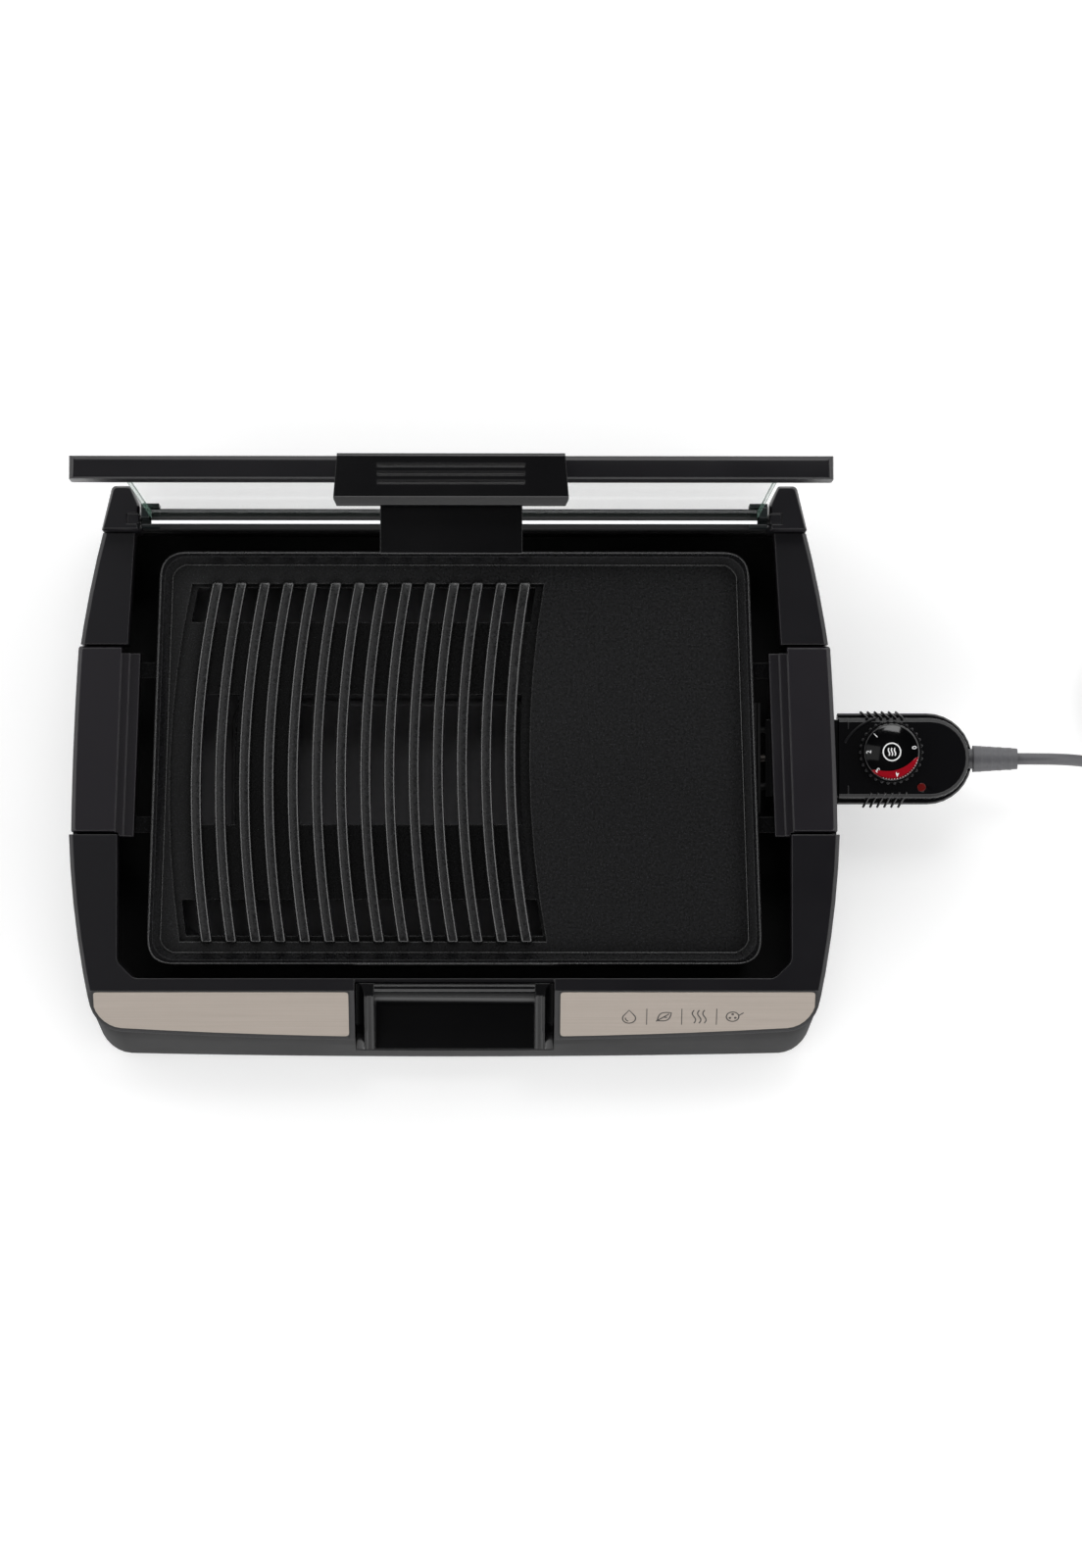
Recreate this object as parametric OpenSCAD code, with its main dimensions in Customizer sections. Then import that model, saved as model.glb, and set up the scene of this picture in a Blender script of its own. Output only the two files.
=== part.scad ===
// Electric indoor grill: a bowed plastic base with a lift-out cooking plate, a hinged glass lid
// and a plug-in thermostat probe. Millimetres, +Z up, front towards -Y.
// All modules work from the middle of the base; at_origin() then moves them into the part's frame.

/* [Base] */
// Half of the base's greatest width
base_half_w = 229.5; // [220:0.5:245]
// Place of the greatest width, front to back
belly_y = -20; // [-40:1:0]
// Radius of the bowed sides ahead of the belly
side_r_front = 565; // [450:5:900]
// Radius of the bowed sides behind the belly
side_r_rear = 650; // [550:5:1000]
// Front edge of the upper housing, on the centre line
front_y = -160.6; // [-170:0.2:-156]
// Radius of the bow along the front edge
front_bow_r = 3600; // [2500:100:9000]
// Radius of the two front corners
front_corner_r = 20; // [12:1:28]
// How far the foot of the skirt stands out ahead of the front edge
skirt_flare = 9.7; // [4:0.1:14]
// Outer face of the rear wall
rear_y = 147; // [144:0.5:152]
// Height of the flat rim above the counter
rim_z = 76; // [72:0.5:84]
// Height of the seam between the tub and the upper housing
seam_z = 48; // [44:0.5:52]
// Height of the tub's lower edge above the counter
skirt_z = 4; // [3:0.5:8]
// Wall of every moulded housing
wall = 2.6; // [2:0.1:3.2]
// Bevel along the outer top edges
edge_bevel = 2.4; // [1:0.1:4]
// Seam left between neighbouring mouldings
seam_gap = 0.4; // [0.3:0.05:0.8]
// Diameter of each rubber foot
foot_d = 20; // [14:1:26]

/* [Front housing] */
// Rear end of the two front arms
arm_y = -38; // [-50:0.5:-30]
// Width of a front arm at the base's widest place
arm_w = 29; // [26:0.5:33]
// Front edge of the opening
opening_front_y = -123.5; // [-126:0.5:-121]
// Chamfer across the opening's front corners
opening_chamfer = 10; // [5:0.5:14]
// Line where the flat rim turns down into the fascia
fascia_top_y = -130.8; // [-132:0.2:-129]
// Slope of the fascia
fascia_slope = 42; // [36:0.5:43]
// Inner end of each trim plate, from the centre line
trim_in_x = 63; // [62:0.5:80]
// Outer end of each trim plate
trim_out_x = 214.5; // [180:0.5:218]
// Thickness of a trim plate
trim_t = 1; // [0.6:0.1:1.6]
// Border between a trim plate and the fascia's edges
trim_border = 2; // [1.4:0.1:4]

/* [Lid handle recess] */
// Half width of the recess, outside
recess_half_w = 59.3; // [57:0.1:60]
// Half width of the recess, between its ribs
recess_inner_half_w = 48; // [45:0.5:50]
// Depth of the recess floor below the rim
recess_depth = 48; // [44:0.5:52]

/* [Rear corners] */
// Front end of the rear side covers
cover_front_y = 75.2; // [70:0.5:80]
// Rear end of the side covers, where the hinge towers start
tower_front_y = 142; // [138:0.5:143]
// Rear face of the hinge towers
tower_rear_y = 168.5; // [164:0.5:176]
// Top of the hinge towers
tower_top_z = 90; // [88:0.5:98]
// Width of a hinge tower at its front end
tower_w = 22.3; // [20:0.1:24]
// Width of a side cover at its front end
cover_front_w = 28.1; // [24:0.1:32]
// Width of a side cover at its rear end
cover_rear_w = 18.9; // [16:0.1:22]

/* [Cooking plate] */
// Gap between the plate's front corners and the arms
plate_gap = 16.9; // [14:0.1:20]
// How much narrower the plate is at its rear edge, on each side
plate_taper = 8; // [4:0.2:12]
// Front edge of the plate
plate_front_y = -115.6; // [-118:0.2:-112]
// Rear edge of the plate
plate_rear_y = 131.2; // [126:0.2:133]
// Radius of the plate's outer corners
plate_corner_r = 16; // [10:0.5:22]
// Height of the plate's rim
plate_rim_z = 68; // [65:0.5:71]
// Height of the smooth griddle surface
griddle_z = 60; // [58:0.5:61]
// Height of the floor under the ribs
rib_floor_z = 57.5; // [56:0.5:58]
// Height of the rib tops
rib_top_z = 63.5; // [62:0.5:65]
// Thickness of the casting under the ribs
plate_t = 4; // [3:0.5:5]
// Width of the rim's flat top
plate_rim_w = 3.2; // [2:0.2:5]
// Number of ribs
rib_count = 14; // [8:1:14]
// Width of a rib at its foot
rib_w = 6.2; // [5:0.1:7]
// Middle of the first rib from the centre line, as a share of the plate's half width
rib_start = 0.805; // [0.7:0.005:0.82]
// Rib spacing at the rear ends, as a share of the plate's half width there
rib_pitch_share_rear = 0.0804; // [0.07:0.0002:0.083]
// Rib spacing at the front ends, as a share of the plate's half width there
rib_pitch_share_front = 0.08; // [0.07:0.0002:0.083]
// Rear end of the ribs
rib_rear_y = 113; // [105:0.5:114]
// Front end of the ribs
rib_front_y = -102; // [-102:0.2:-95]
// How far each rib bows to the left at its middle
rib_bow = 9.6; // [4:0.2:12]

/* [Heating element] */
// Diameter of the tube
element_d = 8; // [6.5:0.5:9]
// Place of the element's rear leg
element_rear_y = 68; // [64:0.5:72]
// Place of the element's front leg
element_front_y = -54; // [-58:0.5:-50]
// Diameter of a terminal pin
terminal_d = 5; // [4:0.5:6]
// Distance between the two terminal pins
terminal_pitch = 34; // [30:0.5:38]

/* [Side handles] */
// Gap between the plate and the handles' lowest step, at the middle of its length
plate_to_handle = 9.95; // [8:0.05:12]
// Width of the lowest step
handle_low_step_w = 6; // [4:0.1:8]
// Width of the middle step
handle_mid_step_w = 4.8; // [3:0.1:6]
// How much lower each step lies
handle_step_h = 4; // [2:0.5:5]
// Radius of the handles' outer side, flatter than the base's own
handle_side_r = 2100; // [1600:100:3200]
// Gap between a handle and the mouldings at its ends
handle_gap = 1.1; // [0.8:0.1:2]
// Underside of the handles
handle_bottom_z = 48.3; // [48.2:0.1:50]
// How far the tub's wall stands back under the handles, for the fingers
finger_depth = 17; // [14:0.5:19]

/* [Drip tray] */
// Depth of the tray
tray_depth = 24; // [18:0.5:28]
// Gap between the tray's rim and the plate's outline
tray_inset = 3; // [2:0.5:8]
// Thickness of the tray's sheet
tray_t = 1.2; // [0.8:0.1:1.6]

/* [Lid] */
// Hinge line, front to back
hinge_y = 149; // [148:0.2:150]
// Hinge line's height
hinge_z = 77.5; // [77:0.1:79]
// Thickness of the glass
glass_t = 4; // [3:0.5:5]
// Distance from the hinge line to the glass's rear edge
glass_from = 9; // [8:0.5:11]
// Distance from the hinge line to the bar's front edge
lid_reach = 283; // [280:0.5:285]
// Width of the bar along the glass's front edge
bar_w = 25; // [20:0.5:30]
// Height of the bar
bar_h = 13.4; // [11:0.2:15]
// Half length of the bar
bar_half_l = 209.6; // [206:0.2:214]
// Half width of the handle
lid_handle_half_w = 64; // [58:0.5:66]
// How far the handle stands out ahead of the bar
lid_handle_out = 28; // [24:0.5:30]
// Half width of the flap under the handle
flap_half_w = 38.8; // [34:0.2:42]
// How far the flap hangs below the hinge line
flap_drop = 42.8; // [36:0.2:44]
// Diameter of the hinge pins
hinge_pin_d = 6; // [5:0.5:7]
// Running clearance around the pins, on the radius
pin_clearance = 0.06; // [0.04:0.01:0.09]

/* [Probe] */
// Middle of the probe, front to back
probe_y = 8.5; // [5:0.5:12]
// Height of the probe's parting line
probe_z = 44; // [43:0.5:46]
// Place where the probe's body leaves the base
probe_from_x = 229.6; // [229:0.2:236]
// Right end of the probe's body
probe_to_x = 310.5; // [300:0.5:320]
// Half width of the lower shell
probe_lower_half_w = 27.4; // [25:0.2:28]
// Half width of the upper shell
probe_upper_half_w = 24.8; // [22:0.2:25]
// Height of the upper shell above the parting line
probe_upper_h = 12; // [10:0.5:14]
// Depth of the lower shell below the parting line
probe_lower_h = 14; // [11:0.5:16]
// Middle of the dial, left to right
dial_x = 260.8; // [258:0.2:264]
// Middle of the dial, front to back
dial_y = 11.6; // [9:0.2:13]
// Diameter of the dial's knurled skirt
dial_skirt_d = 37.8; // [34:0.2:40]
// Diameter of the dial's cap
dial_cap_d = 32; // [26:0.2:33]
// Length of the strain relief
relief_l = 27; // [20:0.5:34]

/* [Cord] */
// Diameter of the mains lead
cord_d = 7; // [7:0.5:7]
// Radius of the coil at the middle of its turns
coil_r = 38; // [38:1:38]

/* [Hidden] */

eps = 0.01;
// Gap between pieces that rest on one another
seat_gap = 0.2;
relief_end_x = probe_to_x + relief_l;
skirt_front_y = front_y - skirt_flare;
opening_half_w = base_half_w - arm_w;
tower_side_x = side_x(tower_front_y);
tower_gap_half = tower_side_x - tower_w;
cover_in_front_x = side_x(cover_front_y) - cover_front_w;
cover_in_rear_x = tower_side_x - cover_rear_w;
plate_half_front = opening_half_w - plate_gap;
plate_half_rear = plate_half_front - plate_taper;
// The origin lies on the counter, under the middle of everything but the lead.
origin_x = (relief_end_x - base_half_w) / 2;
origin_y = (tower_rear_y + skirt_front_y) / 2;
far = 2 * base_half_w;

// Feet and base screws, measured in from the base's sides, front and rear
foot_x = base_half_w - 64.5;
foot_front_y = front_y + 35.6;
foot_rear_y = rear_y - 32;
screw_x = foot_x - 65;
screw_front_y = foot_front_y + 20;
screw_rear_y = foot_rear_y + 7;

floor_t = 3;
floor_z = skirt_z + 4;
floor_top_z = floor_z + floor_t;
upstand_top_z = hinge_z - 7;

handle_front_y = arm_y + handle_gap;
handle_rear_y = cover_front_y - handle_gap;
handle_mid_y = (handle_front_y + handle_rear_y) / 2;
handle_lean = atan(0.035);
handle_in_x = plate_half(handle_mid_y) + plate_to_handle;
handle_step_x = handle_in_x + handle_low_step_w;
handle_top_x = handle_step_x + handle_mid_step_w;
handle_out_x = base_half_w - 1.45;
handle_belly_y = belly_y - 42;

plate_under_z = rib_floor_z - plate_t;
element_z = plate_under_z - 0.3 * element_d;
lug_w = 9.5;
lug_from_x = plate_half_rear - 25.6;
lug_rear_y = 60.3;
lug_front_y = -31.8;

runner_x = 0.52 * base_half_w;
tray_z = floor_top_z + 3;
tray_top_z = tray_z + tray_depth;

glass_low = 0.6;
gasket_t = 1.4;
rail_t = 1.6;
rail_from = glass_from - 3;
rail_to = glass_from + 9;
bar_low = -1;
block_out_x = tower_gap_half - 0.6;
block_in_x = block_out_x - 10.5;
glass_half_w = block_in_x + 4.4;
block_top = glass_low + glass_t + gasket_t + rail_t;

probe_neck_half_w = 23;
// Outer face of the socket's bracket under the plate
socket_x = plate_half(probe_y) + 3.42;
socket_half_w = probe_neck_half_w + 10;
shroud_t = 2;
rod_from_x = socket_x - 33;
probe_neck_from_x = socket_x + 3;
probe_top_z = probe_z + probe_upper_h;
probe_under_z = probe_z - probe_lower_h;
dial_seat_z = probe_top_z + 0.5;
terminal_len = 24;
relief_z = probe_z - 1;

cord_r = cord_d / 2;
coil_x = 440;
coil_y = probe_y + coil_r;
coil_w = 22.8;
coil_h = 14.4;
// Middle line of the lead from the strain relief down to the coil, round numbers set by hand.
lead_route = [[-7, 0, 43], [6, 0, 43], [14, 0, 42], [22, 0, 39.5], [30, -0.1, 35], [38, -0.4, 29],
    [46, -1, 22.5], [54, -2, 16.5], [62, -3.3, 11], [70, -4.8, 7], [78, -6.1, 4.5], [88, -7.1, 3.6],
    [102.5, -7.4, 3.6]];
// Middle line of the lead from the coil to the plug, from the coil's centre.
tail_route = [[45.4, 0, 11], [45.9, 8, 10.7], [46.3, 16, 9.2], [46.5, 24, 7.2], [46.5, 32, 6], [46.3, 40, 6.4],
    [46.2, 48, 8.8], [46.1, 56, 12], [46, 64, 14], [46, 70, 14]];
plug_at = [46, 68, 14];

// ---- shared helpers ----

// Moves a piece from the base's own middle into the part's frame.
module at_origin() translate([-origin_x, -origin_y, 0]) children();

// Repeats a piece on both sides of the centre line.
module both_sides() {
    children();
    mirror([1, 0, 0]) children();
}

// A box between two corners.
module box(low, high) translate(low) cube(high - low);

// Points along an arc about c, from angle a to angle b.
function arc(c, r, a, b, n) = [for (i = [0:n]) c + r * [cos(a + (b - a) * i / n), sin(a + (b - a) * i / n)]];

// A closed outline with its corners rounded: each corner is [x, y, radius].
function corner_arc(p, q, s, r, n) = let(
    u = (p - q) / norm(p - q), v = (s - q) / norm(s - q),
    half = acos(u * v) / 2, away = r / tan(half),
    c = q + (u + v) / norm(u + v) * r / sin(half),
    a = q + u * away - c, b = q + v * away - c,
    from = atan2(a.y, a.x), turn = atan2(a.x * b.y - a.y * b.x, a * b))
    [for (i = [0:n]) c + r * [cos(from + turn * i / n), sin(from + turn * i / n)]];
function rounded(corners, n = 5) = let(m = len(corners)) [for (i = [0:m - 1])
    let(p = corners[(i + m - 1) % m], q = corners[i], s = corners[(i + 1) % m])
    each q[2] > 0 ? corner_arc([p.x, p.y], [q.x, q.y], [s.x, s.y], q[2], n) : [[q.x, q.y]]];
function rounded_rect(w, h, r, n = 5) =
    rounded([[-w / 2, -h / 2, r], [w / 2, -h / 2, r], [w / 2, h / 2, r], [-w / 2, h / 2, r]], n);

// A solid through a stack of rings that have as many points each, listed anticlockwise from below up.
module loft(rings) {
    n = len(rings[0]);
    top = (len(rings) - 1) * n;
    walls = [for (k = [0:len(rings) - 2], i = [0:n - 1]) let(j = (i + 1) % n, a = k * n, b = a + n)
        each [[a + i, b + i, b + j], [a + i, b + j, a + j]]];
    polyhedron([for (r = rings) each r],
        concat([[for (i = [0:n - 1]) i]], [[for (i = [n - 1:-1:0]) top + i]], walls));
}

// A round tube swept along a route, as one solid.
function unit(v) = v / norm(v);
function route_dir(p, i) = unit(p[min(i + 1, len(p) - 1)] - p[max(i - 1, 0)]);
module tube_along(p, r, sides = 10) {
    loft([for (i = [0:len(p) - 1]) let(d = route_dir(p, i), u = unit(cross([0, 0, 1], d)), v = cross(d, u))
        [for (k = [0:sides - 1]) p[i] + r * (cos(360 * k / sides) * u + sin(360 * k / sides) * v)]]);
}

// ---- the base's plan ----

// Half width of the base at a place front to back.
function side_x(y) = base_half_w - pow(y - belly_y, 2) / (2 * (y < belly_y ? side_r_front : side_r_rear));

// The base's outline: bowed front and sides, round front corners, straight rear.
function base_half(inset, front, bow_r) = let(
    r = front_corner_r - inset,
    lean = asin((belly_y - front) / side_r_front),
    edge_x = side_x(front + r) - r,
    cy = front + inset + edge_x * edge_x / (2 * bow_r) + r,
    end_y = cy - r * sin(lean),
    cx = side_x(end_y) - inset - r * cos(lean))
    concat(
        [for (i = [1:6]) let(x = cx * i / 7) [x, front + inset + x * x / (2 * bow_r)]],
        arc([cx, cy], r, -86, -lean, 6),
        [for (i = [1:14]) let(y = end_y + (rear_y - inset - end_y) * i / 14) [side_x(y) - inset, y]]);
function base_outline(inset = 0, front = front_y, bow_r = front_bow_r) = let(
    half = base_half(inset, front, bow_r), n = len(half))
    concat([[0, front + inset]], half, [for (i = [n - 1:-1:0]) [-half[i].x, half[i].y]]);
function ring(outline, z) = [for (p = outline) [p.x, p.y, z]];

// The upper housing's outer form, before it is parted into its mouldings.
module upper_form(inset = 0) {
    loft([ring(base_outline(inset), seam_z + seat_gap), ring(base_outline(inset), rim_z - edge_bevel),
        ring(base_outline(inset + 0.7 * edge_bevel), rim_z - 0.25 * edge_bevel),
        ring(base_outline(inset + edge_bevel), rim_z)]);
}

// The space inside the upper housing's skin.
module upper_hollow() {
    loft([ring(base_outline(wall), seam_z - 1), ring(base_outline(wall), rim_z - wall)]);
}

// Everything above the fascia's slope, lowered by a distance square to it.
module above_fascia(lower = 0) {
    translate([0, fascia_top_y, rim_z]) rotate([fascia_slope, 0, 0]) translate([-far, -80, -lower])
        cube([2 * far, 80 + lower * tan(fascia_slope / 2), 60]);
}

// The opening between the arms, grown by a margin.
module opening(grow = 0) {
    w = opening_half_w + grow;
    y = opening_front_y - grow;
    r = 0.7 * opening_chamfer;
    translate([0, 0, seam_z - 2]) linear_extrude(rim_z)
        polygon(rounded([[-w, arm_y + 60, 0], [-w, y + opening_chamfer, r], [-w + opening_chamfer, y, r],
            [w - opening_chamfer, y, r], [w, y + opening_chamfer, r], [w, arm_y + 60, 0]]));
}

// ---- the base ----

// Room for the fingers under each side handle, let into the tub's side.
module finger_room(less = 0) {
    both_sides() box([side_x(handle_front_y) - finger_depth - less, handle_front_y + 7 - less, floor_top_z + 12 - less],
        [far, handle_rear_y - 7 + less, seam_z + 20]);
}

// The tub's form between two heights; its skirt flares out at the front.
module tub_body(inset, low, high = seam_z) {
    loft(concat([ring(base_outline(inset, skirt_front_y, 2.5 * front_bow_r), low),
        ring(base_outline(inset, skirt_front_y + 0.6, 2.4 * front_bow_r), max(low + 1, skirt_z + 8)),
        ring(base_outline(inset, front_y - 2.6, 1.3 * front_bow_r), seam_z - 8),
        ring(base_outline(inset + 0.8, front_y, front_bow_r), seam_z)],
        high > seam_z ? [ring(base_outline(inset + 0.8, front_y, front_bow_r), high)] : []));
}

// The way through the tub's right wall for the probe, open at the top.
module probe_way() {
    box([base_half_w - 60, probe_y - probe_neck_half_w - 2, probe_under_z - 1],
        [far, probe_y + probe_neck_half_w + 2, seam_z + 1]);
}

module base_tub() color("#26252a") at_origin() difference() {
    union() {
        difference() {
            tub_body(0, skirt_z);
            finger_room();
            difference() {
                tub_body(wall, floor_top_z, rim_z);
                finger_room(wall);
            }
            // the underside is hollow up to the floor
            difference() {
                tub_body(wall, skirt_z - 1);
                box([-far, -far, floor_z], [far, far, rim_z]);
                finger_room(wall);
                for (p = foot_places()) translate([p.x, p.y, 0]) cylinder(d = foot_d + 6, h = floor_z, $fn = 48);
            }
        }
        // the rear wall stands up behind the plate, between the hinge towers
        box([-tower_gap_half + 1, rear_y - wall, floor_top_z - eps], [tower_gap_half - 1, rear_y, upstand_top_z]);
        // runners under the drip tray
        for (x = [-runner_x, 0, runner_x]) box([x - 2, -90, floor_top_z - eps], [x + 2, 110, tray_z]);
    }
    probe_way();
    recess_way(0);
    for (p = screw_places()) translate([p.x, p.y, skirt_z - 1]) cylinder(d = 3.4, h = 8 + floor_t, $fn = 24);
    for (p = foot_places()) translate([p.x, p.y, -1]) cylinder(d = foot_d + 0.2, h = skirt_z + 3, $fn = 48);
}

function foot_places() = [for (x = [-foot_x, foot_x], y = [foot_front_y, foot_rear_y]) [x, y]];
function screw_places() = [for (x = [-screw_x, screw_x], y = [screw_front_y, screw_rear_y]) [x, y]];

module rubber_feet() color("#1b1b1c") at_origin()
    for (p = foot_places()) translate([p.x, p.y, 0]) {
        cylinder(d1 = foot_d - 3, d2 = foot_d, h = 1.5, $fn = 48);
        translate([0, 0, 1.5]) cylinder(d = foot_d, h = skirt_z + 0.5, $fn = 48);
    }

module base_screws() color("#8a8c90") at_origin()
    for (p = screw_places()) translate([p.x, p.y, floor_z - 2]) {
        cylinder(d = 3.3, h = 2 + floor_t, $fn = 24);
        cylinder(d = 7, h = 1.9, $fn = 32);
    }

module front_housing() color("#2b2a2f") at_origin() difference() {
    intersection() {
        upper_form();
        box([-far, -far, 0], [far, arm_y, 2 * rim_z]);
    }
    above_fascia();
    opening();
    difference() {
        upper_hollow();
        above_fascia(wall);
        opening(wall);
        box([-far, arm_y - wall, 0], [far, far, 2 * rim_z]);
        box([-recess_half_w - wall, -far, 0], [recess_half_w + wall, far, 2 * rim_z]);
    }
    recess_way(0.2);
    both_sides() trim_outline(trim_in_x - 0.3, trim_out_x + 0.3, trim_border - 0.3) fascia_slab(trim_proud - trim_t - 0.05, 20);
}

// The part of a slab that lies within a trim plate's outline.
module trim_outline(from_x, to_x, border) intersection() {
    loft([ring(base_outline(border), seam_z - 5), ring(base_outline(border), rim_z + 5)]);
    box([from_x, -far, seam_z - 5], [to_x, fascia_top_y - border / 2, rim_z + 5]);
    children();
}

// A slab along the fascia's slope, between two heights square to it.
module fascia_slab(low, high) {
    translate([0, fascia_top_y, rim_z]) rotate([fascia_slope, 0, 0]) translate([-far, -80, low])
        cube([2 * far, 90, high - low]);
}

trim_proud = 0.3;
module trim_plate() trim_outline(trim_in_x, trim_out_x, trim_border) fascia_slab(trim_proud - trim_t, trim_proud);
module trim_plate_right() color("#c8bcb4") at_origin() trim_plate();
module trim_plate_left() color("#c8bcb4") at_origin() mirror([1, 0, 0]) trim_plate();

// ---- the recess for the lid's handle ----

recess_floor_z = rim_z - recess_depth;
recess_bar_z = rim_z - 5;
// The cut through the housing and the tub that takes the recess panel; the opening's wall stays behind it.
module recess_way(grow = 0) {
    box([-recess_half_w - grow, -far, recess_floor_z - wall - grow],
        [recess_half_w + grow, opening_front_y - wall + grow, 2 * rim_z]);
    box([-recess_half_w - grow, opening_front_y - wall - 1, recess_bar_z - 3],
        [recess_half_w + grow, opening_front_y + 1, 2 * rim_z]);
}

module recess_panel() color("#2d2c31") at_origin() {
    side_x = recess_half_w - 0.3;
    front = front_y - 5;
    face_y = fascia_top_y - 0.6;
    back_y = opening_front_y - wall - 0.3;
    rib_r = 2.6;
    rib_x = recess_inner_half_w + rib_r;
    difference() {
        intersection() {
            box([-side_x, front, recess_floor_z - wall + 0.3], [side_x, back_y, recess_bar_z]);
            difference() {
                box([-far, -far, 0], [far, far, rim_z]);
                above_fascia(1.2);
            }
        }
        // the scoop between the ribs, rounded where its back meets the floor
        translate([-recess_inner_half_w, 0, 0]) rotate([90, 0, 90]) linear_extrude(2 * recess_inner_half_w)
            polygon(rounded([[face_y, recess_floor_z, 9], [face_y, rim_z + 30, 0], [front - 30, rim_z + 30, 0],
                [front - 30, recess_floor_z - 2, 0], [front + 10, recess_floor_z - 1, 4]], 6));
        // the shoulders fall away outside the ribs
        both_sides() translate([recess_half_w + 0.5, 0, 0]) fascia_run(1.5) circle(r = 6, $fn = 48);
    }
    // rounded bar along the top of the back, and a rib down each side
    translate([-recess_inner_half_w, (face_y + back_y) / 2, recess_bar_z]) rotate([0, 90, 0])
        cylinder(d = back_y - face_y, h = 2 * recess_inner_half_w, $fn = 40);
    both_sides() intersection() {
        box([recess_inner_half_w, front, recess_floor_z], [far, face_y - 2.6, rim_z]);
        translate([rib_x, 0, 0]) fascia_run(rib_r + 0.2) circle(r = rib_r, $fn = 32);
    }
}

// Runs a profile down the fascia's slope, sunk by a depth square to it.
module fascia_run(sink) {
    translate([0, fascia_top_y, rim_z]) rotate([fascia_slope, 0, 0]) translate([0, 10, -sink])
        rotate([90, 0, 0]) linear_extrude(80) children();
}

// ---- rear side covers and hinge towers ----

function cover_plan(inset = 0) = let(f = cover_front_y + inset, b = tower_front_y - seam_gap - inset)
    [[cover_in_front_x + inset, f], [far, f], [far, b], [cover_in_rear_x + inset, b]];
module side_cover() difference() {
    intersection() {
        upper_form();
        linear_extrude(2 * rim_z) polygon(cover_plan());
    }
    intersection() {
        upper_hollow();
        linear_extrude(rim_z - wall) polygon(cover_plan(wall));
    }
}
module side_cover_right() color("#2b2a2f") at_origin() side_cover();
module side_cover_left() color("#2b2a2f") at_origin() mirror([1, 0, 0]) side_cover();

tower_back_x = tower_side_x - 6.3;
// Plan of a hinge tower: it narrows to the rear and its inner rear corner is cut back.
function tower_plan(inset) = rounded([[tower_gap_half + inset, tower_front_y + inset, 0.5],
    [tower_side_x - inset, tower_front_y + inset, 0.5], [tower_back_x - inset, tower_rear_y - inset, 3],
    [tower_gap_half + 5 + inset / 2, tower_rear_y - inset, 2], [tower_gap_half + inset, hinge_y + 8.5, 4]], 4);

module hinge_tower() difference() {
    union() {
        loft([ring(tower_plan(0), seam_z + seat_gap), ring(tower_plan(0), tower_top_z - edge_bevel),
            ring(tower_plan(0.5 * edge_bevel), tower_top_z)]);
        // the post runs down behind the tub
        intersection() {
            translate([0, 0, floor_z + 6]) linear_extrude(seam_z - floor_z) polygon(tower_plan(0));
            box([0, rear_y + 0.3, 0], [far, far, seam_z + 1]);
        }
    }
    // slot for the hinge pin, open at the top so that the lid lifts out
    translate([tower_gap_half - 1, hinge_y, hinge_z]) rotate([0, 90, 0]) cylinder(d = hinge_pin_d + 0.4, h = 8.4, $fn = 48);
    box([tower_gap_half - 1, hinge_y - hinge_pin_d / 2 - 0.2, hinge_z],
        [tower_gap_half + 7.4, hinge_y + hinge_pin_d / 2 + 0.2, tower_top_z + 1]);
}
module hinge_tower_right() color("#2b2a2f") at_origin() hinge_tower();
module hinge_tower_left() color("#2b2a2f") at_origin() mirror([1, 0, 0]) hinge_tower();

// ---- drip tray ----

// Half width of the plate at a place front to back, less an inset.
function plate_half(y) = plate_half_front
    + (plate_half_rear - plate_half_front) * (y - plate_front_y) / (plate_rear_y - plate_front_y);
function plate_plan(inset, r, rear_inset = 0) = let(f = plate_front_y + inset, b = plate_rear_y - inset - rear_inset)
    rounded([[-plate_half(f) + inset, f, r], [plate_half(f) - inset, f, r],
        [plate_half(b) - inset, b, r], [-plate_half(b) + inset, b, r]], 6);

module drip_tray() color("#4b4a4d") at_origin() {
    r = plate_corner_r;
    rim = tray_inset;
    difference() {
        union() {
            loft([ring(plate_plan(rim + 14, r), tray_z), ring(plate_plan(rim + 6, r), tray_top_z)]);
            translate([0, 0, tray_top_z - tray_t]) linear_extrude(tray_t) polygon(plate_plan(rim, r));
        }
        loft([ring(plate_plan(rim + 14 + tray_t, r - tray_t), tray_z + tray_t),
            ring(plate_plan(rim + 6 + tray_t, r - tray_t), tray_top_z + eps)]);
    }
    // pressed outline in the tray's floor
    mark_w = 1.08 * plate_half_rear;
    mark_l = 0.446 * (plate_rear_y - plate_front_y);
    translate([-0.21 * mark_w, -10, tray_z + tray_t - eps]) difference() {
        linear_extrude(1.2) polygon(rounded_rect(mark_w, mark_l, 14));
        translate([0, 0, -1]) linear_extrude(4) polygon(rounded_rect(mark_w - 6, mark_l - 6, 11));
    }
}

// ---- cooking plate ----

rib_rear_x = -rib_start * plate_half_rear;
rib_front_x = -rib_start * plate_half_front;
rib_pitch_rear = rib_pitch_share_rear * plate_half_rear;
rib_pitch_front = rib_pitch_share_front * plate_half_front;
// Middle line of rib i at a place front to back; i may lie between two ribs.
function rib_x(i, y) = let(t = (rib_rear_y - y) / (rib_rear_y - rib_front_y))
    (1 - t) * (rib_rear_x + i * rib_pitch_rear) + t * (rib_front_x + i * rib_pitch_front)
    - rib_bow * (1 - pow(2 * t - 1, 2));
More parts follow.
